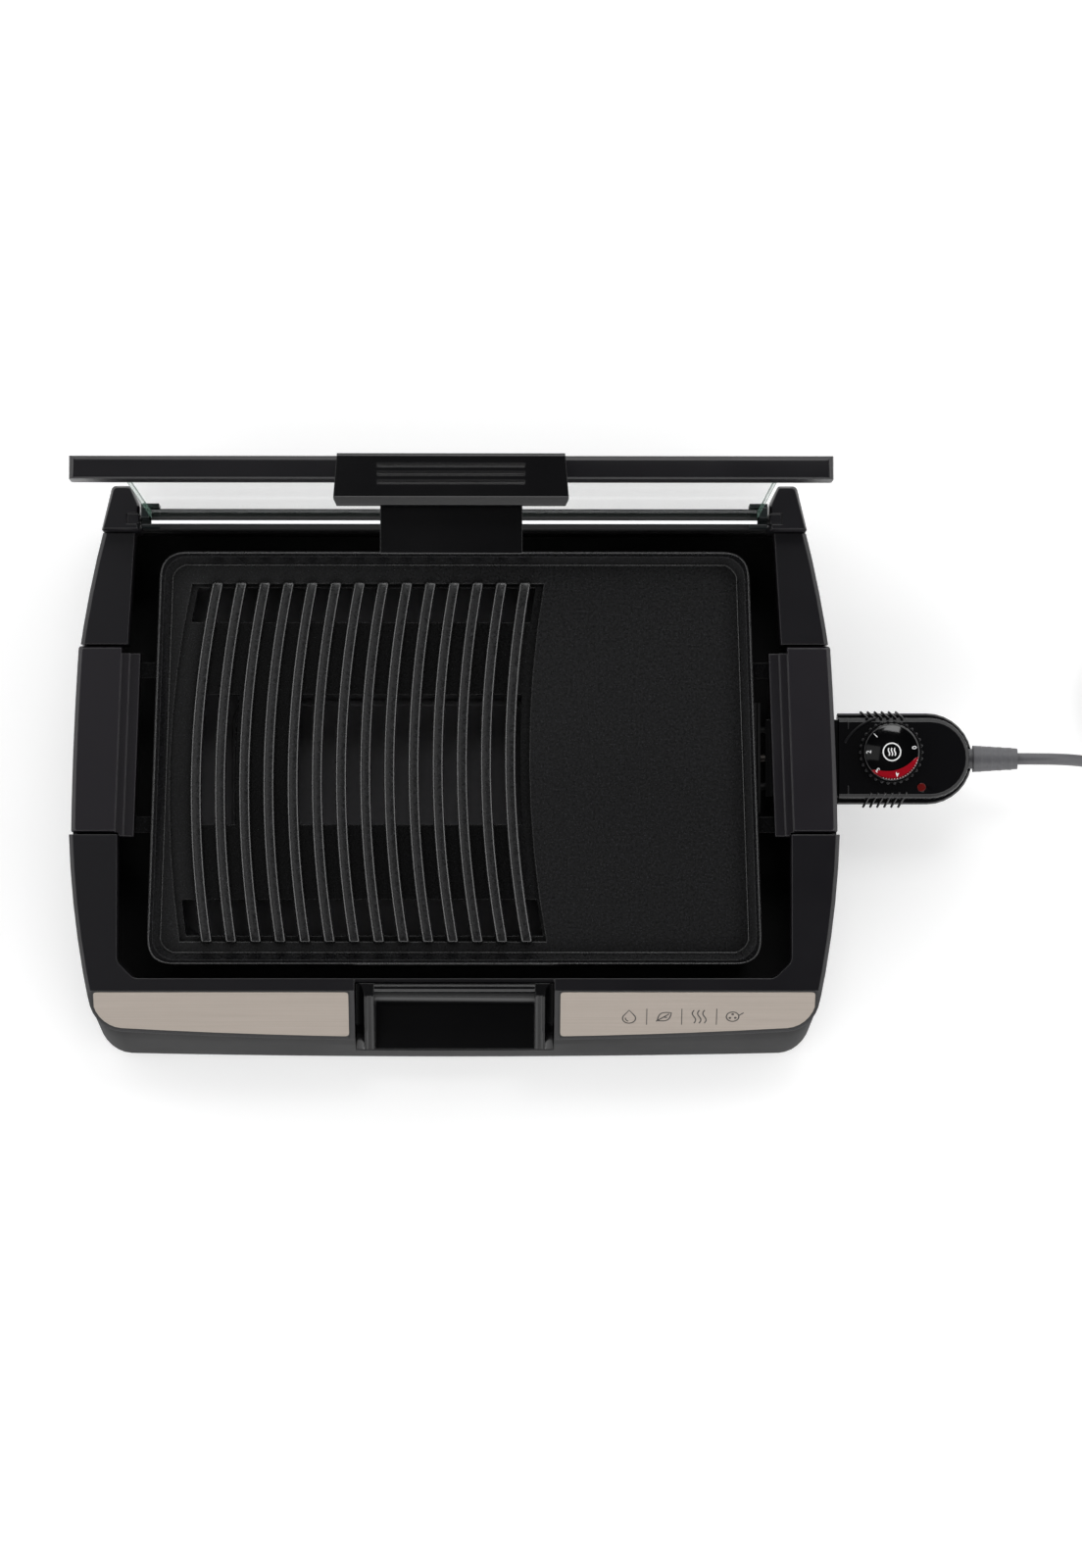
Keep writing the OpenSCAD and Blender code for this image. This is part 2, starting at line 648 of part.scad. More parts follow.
// A band that follows the ribs, from rib number a to rib number b, between two places front to back.
function rib_band(a, b, y0, y1, n = 8) = concat(
    [for (k = [0:n]) let(y = y0 + (y1 - y0) * k / n) [rib_x(b, y), y]],
    [for (k = [n:-1:0]) let(y = y0 + (y1 - y0) * k / n) [rib_x(a, y), y]]);
function rib_plan(i, half, r, less = 0) = let(y0 = rib_front_y + r + less, y1 = rib_rear_y - r - less, n = 10)
    concat([for (k = [0:n]) let(y = y0 + (y1 - y0) * k / n) [rib_x(i, y) + half, y]],
        [for (a = [30:30:150]) [rib_x(i, y1) + half * cos(a), y1 + r * sin(a)]],
        [for (k = [n:-1:0]) let(y = y0 + (y1 - y0) * k / n) [rib_x(i, y) - half, y]],
        [for (a = [210:30:330]) [rib_x(i, y0) + half * cos(a), y0 + r * sin(a)]]);

// Bands where the fat drains through: [first rib, last rib, front, rear].
drain_bands = [[-0.8, rib_count - 0.55, 89.5, 110], [-0.15, 1.6, -31.5, 46.2], [4, rib_count - 0.6, -31.5, 46.2],
    [-0.8, rib_count - 0.3, -98, -76.4]];

module cooking_plate() color("#3a3a3e") at_origin() {
    r = plate_corner_r;
    difference() {
        union() {
            translate([0, 0, plate_rim_z - 7]) linear_extrude(7) polygon(plate_plan(0, r));
            loft([ring(plate_plan(4.5, r - 3), plate_under_z), ring(plate_plan(1.5, r - 1), plate_rim_z - 7 + eps)]);
            both_sides() for (y = [lug_rear_y, lug_front_y])
                box([lug_from_x, y - lug_w / 2, plate_rim_z - 9], [handle_in_x + 4.5, y + lug_w / 2, plate_rim_z - 5]);
        }
        // the dish, down to the smooth griddle
        loft([ring(plate_plan(plate_rim_w + 4, r - 5), griddle_z), ring(plate_plan(plate_rim_w, r - 3), plate_rim_z + eps)]);
        // the lower floor under the ribs
        translate([0, 0, rib_floor_z]) linear_extrude(10) polygon(rib_band(-1.1, rib_count - 0.2, rib_front_y + 0.5, rib_rear_y - 0.5));
        for (b = drain_bands) translate([0, 0, plate_under_z - 1]) linear_extrude(20)
            polygon(rib_band(b[0], b[1], b[2], b[3]));
    }
    for (i = [0:rib_count - 1]) {
        translate([0, 0, plate_under_z]) linear_extrude(rib_top_z - 1.2 - plate_under_z) polygon(rib_plan(i, rib_w / 2, 1.6));
        translate([0, 0, rib_top_z - 1.2 - eps]) linear_extrude(1.2) polygon(rib_plan(i, rib_w / 2 - 0.9, 1, 0.7));
    }
}

// ---- heating element and its terminals ----

terminal_y = [probe_y + terminal_pitch / 2, probe_y - terminal_pitch / 2];
terminal_z = probe_z;
element_left_x = -0.672 * plate_half_rear;
element_end_x = socket_x - 3;

// One end of the element: the leg turns in and runs down to its terminal.
function element_end(leg_y, end_y) = let(side = sign(leg_y - end_y), drop = terminal_z - element_z)
    [for (p = [[-40, leg_y, element_z], [-29, leg_y - side * 3, element_z], [-21, leg_y - side * 10, element_z + 0.05 * drop],
        [-16.5, leg_y - side * 20, element_z + 0.3 * drop], [-14, end_y + side * 10, element_z + 0.8 * drop],
        [-11, end_y + side * 3.2, terminal_z], [-6, end_y, terminal_z], [0, end_y, terminal_z]]) p + [element_end_x, 0, 0]];

// The element: in from the rear terminal, along the rear leg, round the bend and back.
module heating_element() color("#6f6c69") at_origin() {
    bend_r = (element_rear_y - element_front_y) / 2;
    middle = [element_left_x + bend_r, (element_rear_y + element_front_y) / 2];
    rear = element_end(element_rear_y, terminal_y[0]);
    front = element_end(element_front_y, terminal_y[1]);
    bend = [for (p = arc(middle, bend_r, 90, 270, 16)) [p.x, p.y, element_z]];
    tube_along(concat([for (i = [len(rear) - 1:-1:0]) rear[i]], bend, front), element_d / 2, 12);
}

module terminal_pins() color("#c9c8c4") at_origin()
    for (y = terminal_y) translate([element_end_x + 0.3, y, terminal_z]) rotate([0, 90, 0]) {
        cylinder(d = terminal_d, h = terminal_len, $fn = 40);
        cylinder(d = element_d, h = 1.5, $fn = 40);
    }

// Pressed bracket under the plate that carries the terminals and guides the probe's nose.
module socket_shroud() color("#54524f") at_origin() difference() {
    union() {
        box([socket_x - shroud_t, probe_y - socket_half_w, probe_under_z + 4], [socket_x, probe_y + socket_half_w, plate_under_z + 1.5]);
        box([socket_x - 17, probe_y - socket_half_w, plate_under_z - 1.7], [socket_x, probe_y + socket_half_w, plate_under_z - 0.2]);
    }
    for (y = terminal_y) translate([rod_from_x, y, terminal_z]) rotate([0, 90, 0]) cylinder(d = element_d + 0.6, h = 60, $fn = 40);
    translate([rod_from_x, probe_y, terminal_z]) rotate([0, 90, 0]) cylinder(d = rod_d + 2.2, h = 60, $fn = 40);
}

// ---- side handles ----

// A handle's inner edge at a place front to back: it leans as the base's sides do.
function handle_edge(x, y) = x - (y - handle_mid_y) * sin(handle_lean);
function handle_side_x(y) = handle_out_x - pow(y - handle_belly_y, 2) / (2 * handle_side_r);
function handle_outline(inset) = let(f = handle_front_y + inset / 2, b = handle_rear_y - inset / 2)
    rounded(concat([[handle_in_x - 10, f, 0], [handle_side_x(f) - inset, f, 1.6]],
        [for (i = [1:7]) let(y = f + (b - f) * i / 8) [handle_side_x(y) - inset, y, 0]],
        [[handle_side_x(b) - inset, b, 1.6], [handle_in_x - 10, b, 0]]), 4);
module handle_slab(x, low, high, less = 0) translate([0, 0, low]) linear_extrude(high - low)
    polygon([[handle_edge(x, handle_front_y + less), handle_front_y + less], [far, handle_front_y + less],
        [far, handle_rear_y - less], [handle_edge(x, handle_rear_y - less), handle_rear_y - less]]);
// A step along the inner side; it runs on a little past the arm's rear end.
module handle_step(x, high) translate([0, 0, handle_bottom_z]) linear_extrude(high - handle_bottom_z) {
    f = arm_y - 0.9;
    b = handle_rear_y - 4;
    polygon([[handle_edge(x, f), f], [opening_half_w - 0.6, f], [opening_half_w - 0.6, handle_front_y],
        [handle_top_x + 5, handle_front_y], [handle_top_x + 5, b], [handle_edge(x, b), b]]);
}
module side_handle() difference() {
    union() {
        intersection() {
            loft([ring(handle_outline(0.8), handle_bottom_z), ring(handle_outline(0), rim_z - edge_bevel),
                ring(handle_outline(0.7 * edge_bevel), rim_z - 0.25 * edge_bevel), ring(handle_outline(edge_bevel), rim_z)]);
            handle_slab(handle_top_x, handle_bottom_z - 1, rim_z + 1);
        }
        handle_step(handle_step_x, rim_z - handle_step_h);
        handle_step(handle_in_x, rim_z - 2 * handle_step_h);
    }
    // hollow underside, with a solid post over each lug
    difference() {
        intersection() {
            loft([ring(handle_outline(0.8 + wall), handle_bottom_z - 1), ring(handle_outline(0.8 + wall), rim_z - wall)]);
            union() {
                handle_slab(handle_in_x + wall, handle_bottom_z - 1, rim_z - 2 * handle_step_h - wall, 6 + wall);
                handle_slab(handle_top_x + wall, handle_bottom_z - 1, rim_z - wall, wall);
            }
        }
        for (y = [lug_rear_y, lug_front_y])
            box([0, y - lug_w / 2 - 2, handle_bottom_z], [handle_step_x + 8, y + lug_w / 2 + 2, rim_z]);
    }
    // seats for the plate's lugs
    for (y = [lug_rear_y, lug_front_y]) {
        box([0, y - lug_w / 2 - 0.3, plate_rim_z - 9.3], [handle_in_x + 4.8, y + lug_w / 2 + 0.3, plate_rim_z - 4.7]);
        translate([lug_screw_x, y, handle_bottom_z - 1]) cylinder(d = 3.2, h = 14, $fn = 24);
    }
}
lug_screw_x = handle_in_x + 1.9;
module side_handle_left() color("#302f34") at_origin() mirror([1, 0, 0]) side_handle();
module side_handle_right() color("#302f34") at_origin() difference() {
    side_handle();
    // arch over the probe's neck
    box([0, probe_y - probe_neck_half_w - 2, 0], [far, probe_y + probe_neck_half_w + 2, probe_top_z + 1]);
}
module side_handle_screws() color("#8a8c90") at_origin()
    both_sides() for (y = [lug_rear_y, lug_front_y]) translate([lug_screw_x, y, handle_bottom_z - 1.8]) {
        cylinder(d = 3, h = 11, $fn = 24);
        cylinder(d = 6, h = 1.7, $fn = 32);
    }

// ---- lid: drawn shut about its hinge line, then turned up to its stop ----

// Places a piece of the lid that is drawn shut, forward along -Y from the hinge line.
module lid_frame() at_origin() translate([0, hinge_y, hinge_z]) rotate([-90, 0, 0]) children();

// Extrudes a side profile, given as [forward, up], along X between two places.
module lid_profile(from_x, to_x) translate([from_x, 0, 0]) rotate([90, 0, 90]) linear_extrude(to_x - from_x)
    mirror([1, 0]) children();

module hinge_pin_right() color("#b9bbbf") at_origin()
    translate([block_in_x + 2, hinge_y, hinge_z]) rotate([0, 90, 0])
        cylinder(d = hinge_pin_d, h = tower_gap_half + 6.8 - block_in_x - 2, $fn = 48);
module hinge_pin_left() color("#b9bbbf") at_origin()
    translate([-block_in_x - 2, hinge_y, hinge_z]) rotate([0, -90, 0])
        cylinder(d = hinge_pin_d, h = tower_gap_half + 6.8 - block_in_x - 2, $fn = 48);

module hinge_block() difference() {
    lid_profile(block_in_x, block_out_x)
        polygon(rounded([[-6.5, -5, 4.5], [rail_to + 4, -3.4, 1], [rail_to + 4, block_top + 2, 2], [-2, block_top + 2, 4], [-6.5, 5, 4]], 5));
    translate([block_in_x + 1.5, 0, 0]) rotate([0, 90, 0]) cylinder(d = hinge_pin_d + 2 * pin_clearance, h = 20, $fn = 48);
    // the rail and the glass run into the block's inner side
    box([0, -rail_to - 0.9, -rail_t - gasket_t + glass_low - 0.2], [block_in_x + 5, -rail_from + 0.3, block_top + 0.2]);
    box([0, -80, glass_low - 0.3], [glass_half_w + 0.4, -glass_from + 0.3, glass_low + glass_t + 0.3]);
}
module hinge_block_right() color("#243a3c") lid_frame() hinge_block();
module hinge_block_left() color("#243a3c") lid_frame() mirror([1, 0, 0]) hinge_block();

rail_half_l = block_in_x + 4.8;
module hinge_rail() color("#b4b6b8") lid_frame() lid_profile(-rail_half_l, rail_half_l) difference() {
    translate([rail_from, glass_low - gasket_t - rail_t])
        square([rail_to - rail_from, glass_t + 2 * gasket_t + 2 * rail_t]);
    translate([rail_from + rail_t, glass_low - gasket_t]) square([20, glass_t + 2 * gasket_t]);
}
module glass_gasket() color("#1d1d1f") lid_frame() lid_profile(-rail_half_l, rail_half_l) difference() {
    translate([rail_from + rail_t, glass_low - gasket_t])
        square([rail_to - rail_from - rail_t + 0.6, glass_t + 2 * gasket_t]);
    translate([glass_from, glass_low]) square([20, glass_t]);
}
module lid_glass() color("#dfe9e6", 0.35) lid_frame()
    box([-glass_half_w, -lid_reach + bar_w - 14, glass_low], [glass_half_w, -glass_from, glass_low + glass_t]);

module lid_bar() color("#302f34") lid_frame() difference() {
    intersection() {
        lid_profile(-bar_half_l, bar_half_l) polygon(rounded([[lid_reach - bar_w, bar_low, 1],
            [lid_reach, bar_low, 1.5], [lid_reach, bar_low + bar_h, 3], [lid_reach - bar_w, bar_low + bar_h - 4, 3]], 4));
        translate([0, -lid_reach + bar_w / 2, -20]) linear_extrude(60) polygon(rounded_rect(2 * bar_half_l, bar_w, 4));
    }
    box([-glass_half_w - 0.3, -lid_reach + bar_w - 14.3, glass_low - 0.2],
        [glass_half_w + 0.3, 0, glass_low + glass_t + 0.2]);
    for (x = lid_screw_x) translate([x, -lid_screw_u, bar_low - 1]) cylinder(d = 3.2, h = 8, $fn = 24);
}
lid_screw_x = [-54, 54];
lid_screw_u = lid_reach - 6;

// The handle stands ahead of the bar and is held by a tongue that reaches under it.
lid_handle_top = 10.6;
groove_half_l = 40;
grip_low = -17.5;
tongue_t = 2.2;
tongue_half_w = 57.5;
module lid_handle() color("#333237") lid_frame() {
    grip_from = lid_reach + lid_handle_out - 12;
    grip_to = lid_reach + lid_handle_out;
    intersection() {
        difference() {
            lid_profile(-lid_handle_half_w, lid_handle_half_w)
                polygon(rounded([[grip_from, grip_low, 1.5], [grip_to - 5, grip_low, 2], [grip_to, grip_low + 4.5, 2],
                    [grip_to, lid_handle_top, 2], [lid_reach + 0.3, lid_handle_top, 2], [lid_reach + 0.3, 0.6, 1],
                    [grip_from, 0.6, 2]], 4));
            // three grooves along the middle of the grip's front
            lid_profile(-groove_half_l, groove_half_l)
                for (v = [-5.2, -0.6, 4]) translate([grip_to, v]) circle(r = 1, $fn = 24);
        }
        // the ends splay towards the lower edge
        rotate([90, 0, 0]) linear_extrude(2 * lid_reach) polygon([[-lid_handle_half_w + 2.8, 20],
            [-lid_handle_half_w, -14], [-lid_handle_half_w + 2.2, -18.5], [lid_handle_half_w - 2.2, -18.5],
            [lid_handle_half_w, -14], [lid_handle_half_w - 2.8, 20]]);
    }
    difference() {
        tongue_top = bar_low - seat_gap;
        union() {
            box([-tongue_half_w, -lid_reach - 4, tongue_top - tongue_t], [tongue_half_w, -lid_reach + 10, tongue_top]);
            box([-tongue_half_w, -lid_reach - 4, tongue_top - eps], [tongue_half_w, -lid_reach - 0.3, 1]);
        }
        for (x = lid_screw_x) translate([x, -lid_screw_u, -20]) cylinder(d = 3.2, h = 30, $fn = 24);
    }
}

// Flap that hangs from the handle into the front recess and keeps spatter off the fingers.
module lid_flap() color("#353439") lid_frame() {
    flap_from = lid_reach + 4.3;
    flap_top = 0.6 - seat_gap;
    lid_profile(-flap_half_w, flap_half_w) polygon(rounded([[flap_from, -flap_drop, 1], [flap_from + 3, -flap_drop, 1],
        [flap_from + 3, -4, 1.5], [flap_from + 9, flap_top, 0], [flap_from, flap_top, 0]], 4));
}
module lid_handle_screws() color("#8a8c90") lid_frame()
    for (x = lid_screw_x) translate([x, -lid_screw_u, bar_low - seat_gap - tongue_t]) {
        translate([0, 0, -1.6]) cylinder(d = 5, h = 1.6, $fn = 32);
        cylinder(d = 3, h = 8, $fn = 24);
    }

// ---- thermostat probe ----

function probe_plan(half, from_x, to_x) = concat([[from_x, probe_y - half]],
    arc([to_x - half, probe_y], half, -90, 90, 16), [[from_x, probe_y + half]]);

module probe_upper_shell() color("#242328") at_origin() difference() {
    union() {
        loft([ring(probe_plan(probe_upper_half_w, probe_from_x, probe_to_x - 1.5), probe_z + 0.2),
            ring(probe_plan(probe_upper_half_w - 1, probe_from_x, probe_to_x - 2.5), probe_top_z - 2),
            ring(probe_plan(probe_upper_half_w - 3, probe_from_x, probe_to_x - 4.5), probe_top_z)]);
        box([probe_neck_from_x + 6, probe_y - probe_neck_half_w, probe_z + 0.2],
            [probe_from_x + 1, probe_y + probe_neck_half_w, probe_top_z - 2]);
    }
    difference() {
        loft([ring(probe_plan(probe_upper_half_w - 2.4, probe_from_x - 8, probe_to_x - 4), probe_z - 1),
            ring(probe_plan(probe_upper_half_w - 3.4, probe_from_x - 8, probe_to_x - 5), probe_top_z - 2.4)]);
        // boss around the dial's spindle
        translate([dial_x, dial_y, switch_top_z + 0.3]) cylinder(d = 11, h = 2 * rim_z, $fn = 48);
    }
    socket_bores();
    translate([dial_x, dial_y, 0]) cylinder(d = 6.36, h = 2 * rim_z, $fn = 48);
    translate([lamp_at.x, lamp_at.y, 0]) cylinder(d = 5.2, h = 2 * rim_z, $fn = 48);
    relief_bore();
}
lamp_at = [279.2, probe_y - 17.6];
switch_from_x = probe_from_x + 12;
switch_top_z = probe_z + 5;
// Bores through the nose for the contacts and the sensor rod.
module socket_bores() {
    for (y = terminal_y) translate([probe_neck_from_x - 1, y, terminal_z]) rotate([0, 90, 0])
        cylinder(d = terminal_d + 1.3, h = 50, $fn = 40);
    translate([probe_neck_from_x - 1, probe_y, terminal_z]) rotate([0, 90, 0]) cylinder(d = rod_d + 0.2, h = 50, $fn = 40);
}
rod_d = 5.8;

module probe_lower_shell() color("#1f1e22") at_origin() difference() {
    union() {
        loft([ring(probe_plan(probe_lower_half_w - 4, probe_from_x, probe_to_x - 4), probe_under_z),
            ring(probe_plan(probe_lower_half_w - 0.6, probe_from_x, probe_to_x - 0.6), probe_under_z + 4),
            ring(probe_plan(probe_lower_half_w, probe_from_x, probe_to_x), probe_z - 1.5),
            ring(probe_plan(probe_lower_half_w - 1, probe_from_x, probe_to_x - 1), probe_z)]);
        box([probe_neck_from_x, probe_y - probe_neck_half_w, probe_under_z + 2],
            [probe_from_x + 1, probe_y + probe_neck_half_w, probe_z]);
        // the nose, which reaches in between the base's wall and the plate
        box([probe_neck_from_x, probe_y - probe_neck_half_w, probe_z - eps],
            [probe_neck_from_x + 5.6, probe_y + probe_neck_half_w, probe_top_z - 2]);
    }
    loft([ring(probe_plan(probe_lower_half_w - 6, probe_from_x - 8, probe_to_x - 7), probe_under_z + 2.4),
        ring(probe_plan(probe_lower_half_w - 3.2, probe_from_x - 8, probe_to_x - 4), probe_z + eps)]);
    socket_bores();
    relief_bore();
    for (p = probe_screw_places()) translate([p.x, p.y, probe_under_z - 1]) cylinder(d = 3.4, h = 6, $fn = 24);
}
function probe_screw_places() = [[probe_from_x + 8, probe_y - 12], [probe_from_x + 8, probe_y + 12]];
module relief_bore() translate([probe_to_x - 12, probe_y, relief_z]) rotate([0, 90, 0]) cylinder(d = 12.2, h = 20, $fn = 40);

module probe_screws() color("#8a8c90") at_origin()
    for (p = probe_screw_places()) translate([p.x, p.y, probe_under_z + 0.3]) cylinder(d = 3.3, h = 5, $fn = 24);

// Spring sleeves that grip the terminal pins.
module probe_contacts() color("#b98f4a") at_origin()
    for (y = terminal_y) translate([probe_neck_from_x + 2, y, terminal_z]) rotate([0, 90, 0]) difference() {
        cylinder(d = terminal_d + 1.1, h = 24, $fn = 40);
        translate([0, 0, -1]) cylinder(d = terminal_d + 0.16, h = 18.5, $fn = 40);
    }
module sensor_rod() color("#c9c8c4") at_origin() translate([rod_from_x, probe_y, terminal_z]) rotate([0, 90, 0]) {
    cylinder(d = rod_d, h = switch_from_x - seat_gap - rod_from_x, $fn = 40);
    sphere(d = rod_d, $fn = 32);
}
module thermostat_switch() color("#d8d2c4") at_origin()
    box([switch_from_x, probe_y - 12, probe_under_z + 3], [dial_x + 14, probe_y + 12, switch_top_z]);

module dial_spindle() color("#b9bbbf") at_origin()
    translate([dial_x, dial_y, switch_top_z + seat_gap])
        cylinder(d = 6.2, h = dial_seat_z + 6 - switch_top_z - seat_gap, $fn = 48);
dial_skirt_h = 5;
dial_cap_h = 6.5;
module dial_skirt() color("#1c1b1f") at_origin() translate([dial_x, dial_y, dial_seat_z]) difference() {
    union() {
        cylinder(d = dial_skirt_d - 1.4, h = dial_skirt_h, $fn = 96);
        for (k = [0:29]) rotate([0, 0, 12 * k]) translate([dial_skirt_d / 2 - 1.2, 0, 0]) cylinder(r = 1.2, h = dial_skirt_h - 0.5, $fn = 16);
    }
    translate([0, 0, -1]) cylinder(d = 6.32, h = 20, $fn = 48);
}
module dial_cap() color("#26252a") at_origin() translate([dial_x, dial_y, dial_seat_z + dial_skirt_h]) difference() {
    union() {
        cylinder(d = dial_cap_d, h = dial_cap_h - 3, $fn = 72);
        translate([0, 0, dial_cap_h - 3]) cylinder(d1 = dial_cap_d, d2 = dial_cap_d - 3, h = 2, $fn = 72);
    }
    translate([0, 0, -1]) cylinder(d = 6.32, h = 3, $fn = 48);
}
module lamp_lens() color("#b3261e") at_origin() translate([lamp_at.x, lamp_at.y, probe_top_z - 3])
    cylinder(d = 5, h = 3.4, $fn = 40);

module strain_relief() color("#1b1b1d") at_origin() translate([probe_to_x - 6, probe_y, relief_z]) rotate([0, 90, 0]) difference() {
    union() {
        cylinder(d = 12, h = 7, $fn = 40);
        translate([0, 0, 6.3]) cylinder(d1 = 16, d2 = 12.5, h = relief_l - 0.3, $fn = 40);
        for (k = [0:3]) translate([0, 0, 9 + 6 * k]) cylinder(d = 15.6 - 0.7 * k, h = 2.4, $fn = 40);
    }
    translate([0, 0, relief_l + 6 - 8]) cylinder(d = cord_d + 0.3, h = 20, $fn = 40);
}

// ---- mains lead ----

function lead_points() = [for (p = lead_route) p + [relief_end_x, probe_y, 0]];
module cord_lead() color("#1b1b1d") at_origin() tube_along(lead_points(), cord_r, 10);
module cord_coil() color("#1b1b1d") at_origin() translate([coil_x, coil_y, 0.2]) rotate_extrude($fn = 64)
    translate([coil_r, coil_h / 2]) polygon(rounded_rect(coil_w, coil_h, 5, 3));
module cord_tail() color("#1b1b1d") at_origin()
    tube_along([for (p = tail_route) p + [coil_x, coil_y, 0]], cord_r, 10);
module plug_body() color("#1b1b1d") at_origin() translate([coil_x, coil_y, 0] + plug_at) rotate([0, 0, 90]) {
    translate([0.3, 0, 0]) rotate([0, 90, 0]) cylinder(d1 = 9, d2 = 14, h = 16, $fn = 40);
    translate([16, 0, -14]) linear_extrude(28) polygon([for (p = rounded_rect(26, 36, 9)) p + [13, 0]]);
}
module plug_pins() color("#c9c8c4") at_origin() translate([coil_x, coil_y, 0] + plug_at) rotate([0, 0, 90])
    for (y = [-9.5, 9.5]) translate([42, y, 0]) rotate([0, 90, 0]) cylinder(d = 4.8, h = 19, $fn = 32);

base_tub();
front_housing();
recess_panel();
trim_plate_left();
trim_plate_right();
side_cover_left();
side_cover_right();
hinge_tower_left();
hinge_tower_right();
rubber_feet();
base_screws();
drip_tray();
cooking_plate();
heating_element();
terminal_pins();
socket_shroud();
side_handle_left();
side_handle_right();
side_handle_screws();
hinge_pin_left();
hinge_pin_right();
hinge_block_left();
hinge_block_right();
hinge_rail();
glass_gasket();
lid_glass();
lid_bar();
lid_handle();
lid_flap();
lid_handle_screws();
probe_upper_shell();
probe_lower_shell();
probe_contacts();
sensor_rod();
thermostat_switch();
dial_spindle();
dial_skirt();
dial_cap();
lamp_lens();
probe_screws();
strain_relief();
cord_lead();
cord_coil();
cord_tail();
plug_body();
plug_pins();
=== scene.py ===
# %% [markdown]
# # An electric indoor grill, dressed and lit
# The grill arrives as a fixed frame of rigid parts: a bowed plastic base, a lift-out cooking plate, a
# glass lid on two hinges and a thermostat probe that plugs into the right side. Nothing here moves or
# scales it. What it lacks is finish: softened edges, grain, gloss, printed marks and a lead that lies as
# a real lead does. Each cell below adds one of those.

# %% Load the fixed frame
import math

import bmesh
import bpy
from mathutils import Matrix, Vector


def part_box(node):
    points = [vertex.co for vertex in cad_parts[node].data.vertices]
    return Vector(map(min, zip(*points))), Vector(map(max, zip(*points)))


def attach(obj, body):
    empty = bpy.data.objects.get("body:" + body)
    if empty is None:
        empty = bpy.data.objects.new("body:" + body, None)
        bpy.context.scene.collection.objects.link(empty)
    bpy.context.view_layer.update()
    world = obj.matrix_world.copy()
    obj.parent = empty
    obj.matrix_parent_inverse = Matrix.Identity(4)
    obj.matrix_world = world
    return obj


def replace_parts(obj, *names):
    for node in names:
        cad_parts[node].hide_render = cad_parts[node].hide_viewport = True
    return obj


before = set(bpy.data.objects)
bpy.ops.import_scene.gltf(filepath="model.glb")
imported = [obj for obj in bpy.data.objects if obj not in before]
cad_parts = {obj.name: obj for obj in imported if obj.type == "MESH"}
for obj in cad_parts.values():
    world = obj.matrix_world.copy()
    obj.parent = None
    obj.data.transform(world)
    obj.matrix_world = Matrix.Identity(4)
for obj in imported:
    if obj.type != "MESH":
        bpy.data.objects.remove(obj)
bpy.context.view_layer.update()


def new_object(name, data):
    """An object of the scene that shows this mesh, curve, lamp or camera."""
    thing = bpy.data.objects.new(name, data)
    bpy.context.scene.collection.objects.link(thing)
    return thing


# %% [markdown]
# # One way to name a place
# Everything is drawn from the middle of the base, in millimetres, as a maker would measure it. One helper
# turns such a place into the frame's metres. It takes its two offsets from the base tub itself, so it
# stays right if the frame moves.

# %% From millimetres on the base to the frame's metres
MM = 0.001
REAR_WALL_Y = 147
TUB_LOW, TUB_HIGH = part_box("base_tub")
MIDDLE_X = (TUB_LOW.x + TUB_HIGH.x) / 2
MIDDLE_Y = TUB_HIGH.y - REAR_WALL_Y * MM


def at(x, y, z=0.0):
    """A place measured in mm from the middle of the base, as a point of the frame in metres."""
    return Vector((MIDDLE_X + x * MM, MIDDLE_Y + y * MM, z * MM))


print("middle of the base:", tuple(round(v, 4) for v in at(0, 0)))

# %% [markdown]
# # The camera
# A low, wide appliance is often shown from straight above through a long lens, so that the plan reads
# true and the raised lid is a thin band. A lens of 136 mm, 3.6 m up, does that. The camera stands over
# the front edge and leans back by two degrees, which leaves no need for lens shift.

# %% Place the camera
CAMERA_OVER = (22.5, -147.7)
CAMERA_HEIGHT = 3600
CAMERA_LEAN_BACK = 2.27
CAMERA_LEAN_RIGHT = 0.47
LENS_MM = 136.2

camera_data = bpy.data.cameras.new("camera")
camera_data.lens = LENS_MM
camera_data.clip_start = 0.1
camera_data.clip_end = 50
camera = new_object("camera", camera_data)
camera.location = at(*CAMERA_OVER, CAMERA_HEIGHT)
camera.rotation_euler = (math.radians(CAMERA_LEAN_BACK), -math.radians(CAMERA_LEAN_RIGHT), 0)
bpy.context.scene.camera = camera

# %% [markdown]
# # The mains lead: route first
# A lead is a fixed length of something bendy. It leaves the strain relief level, sinks to the counter in
# one easy curve and is then wound up in two layers, each of turns that lie beside each other. The winding
# is a formula, because each turn only changes its radius or its layer over a short stretch. The two ends
# are listed points, laid as a person would lay them.

# %% Set the lead's route
LEAD_D = 7
RELIEF_END = (337.5, 8.5)
COIL_MIDDLE = (440, 46.5)
TURN_RADII = (45.4, 38.0, 30.6)
LAYER_Z = (3.6, 11.0)
LEAD_OUT = [
    (-7, 0, 43), (6, 0, 43), (14, 0, 42), (22, 0, 39.5), (30, -0.1, 35), (38, -0.4, 29), (46, -1, 22.5),
    (54, -2, 16.5), (62, -3.3, 11), (70, -4.8, 7), (78, -6.1, 4.5), (88, -7.1, 3.6), (102.5, -7.4, 3.6),
]
TAIL = [
    (45.4, 0, 11), (45.9, 8, 10.7), (46.3, 16, 9.2), (46.5, 24, 7.2), (46.5, 32, 6), (46.3, 40, 6.4),
    (46.2, 48, 8.8), (46.1, 56, 12), (46, 64, 14), (46, 70, 14),
]
# Stretches of the winding, in degrees, over which the lead changes: [from, to, radius or height after it]
RADIUS_STEPS = [(210, 270, TURN_RADII[1]), (570, 630, TURN_RADII[2]),
                (1150, 1215, TURN_RADII[1]), (1510, 1575, TURN_RADII[0])]
HEIGHT_STEPS = [(860, 930, LAYER_Z[1])]
WINDING = (-90, 1800)


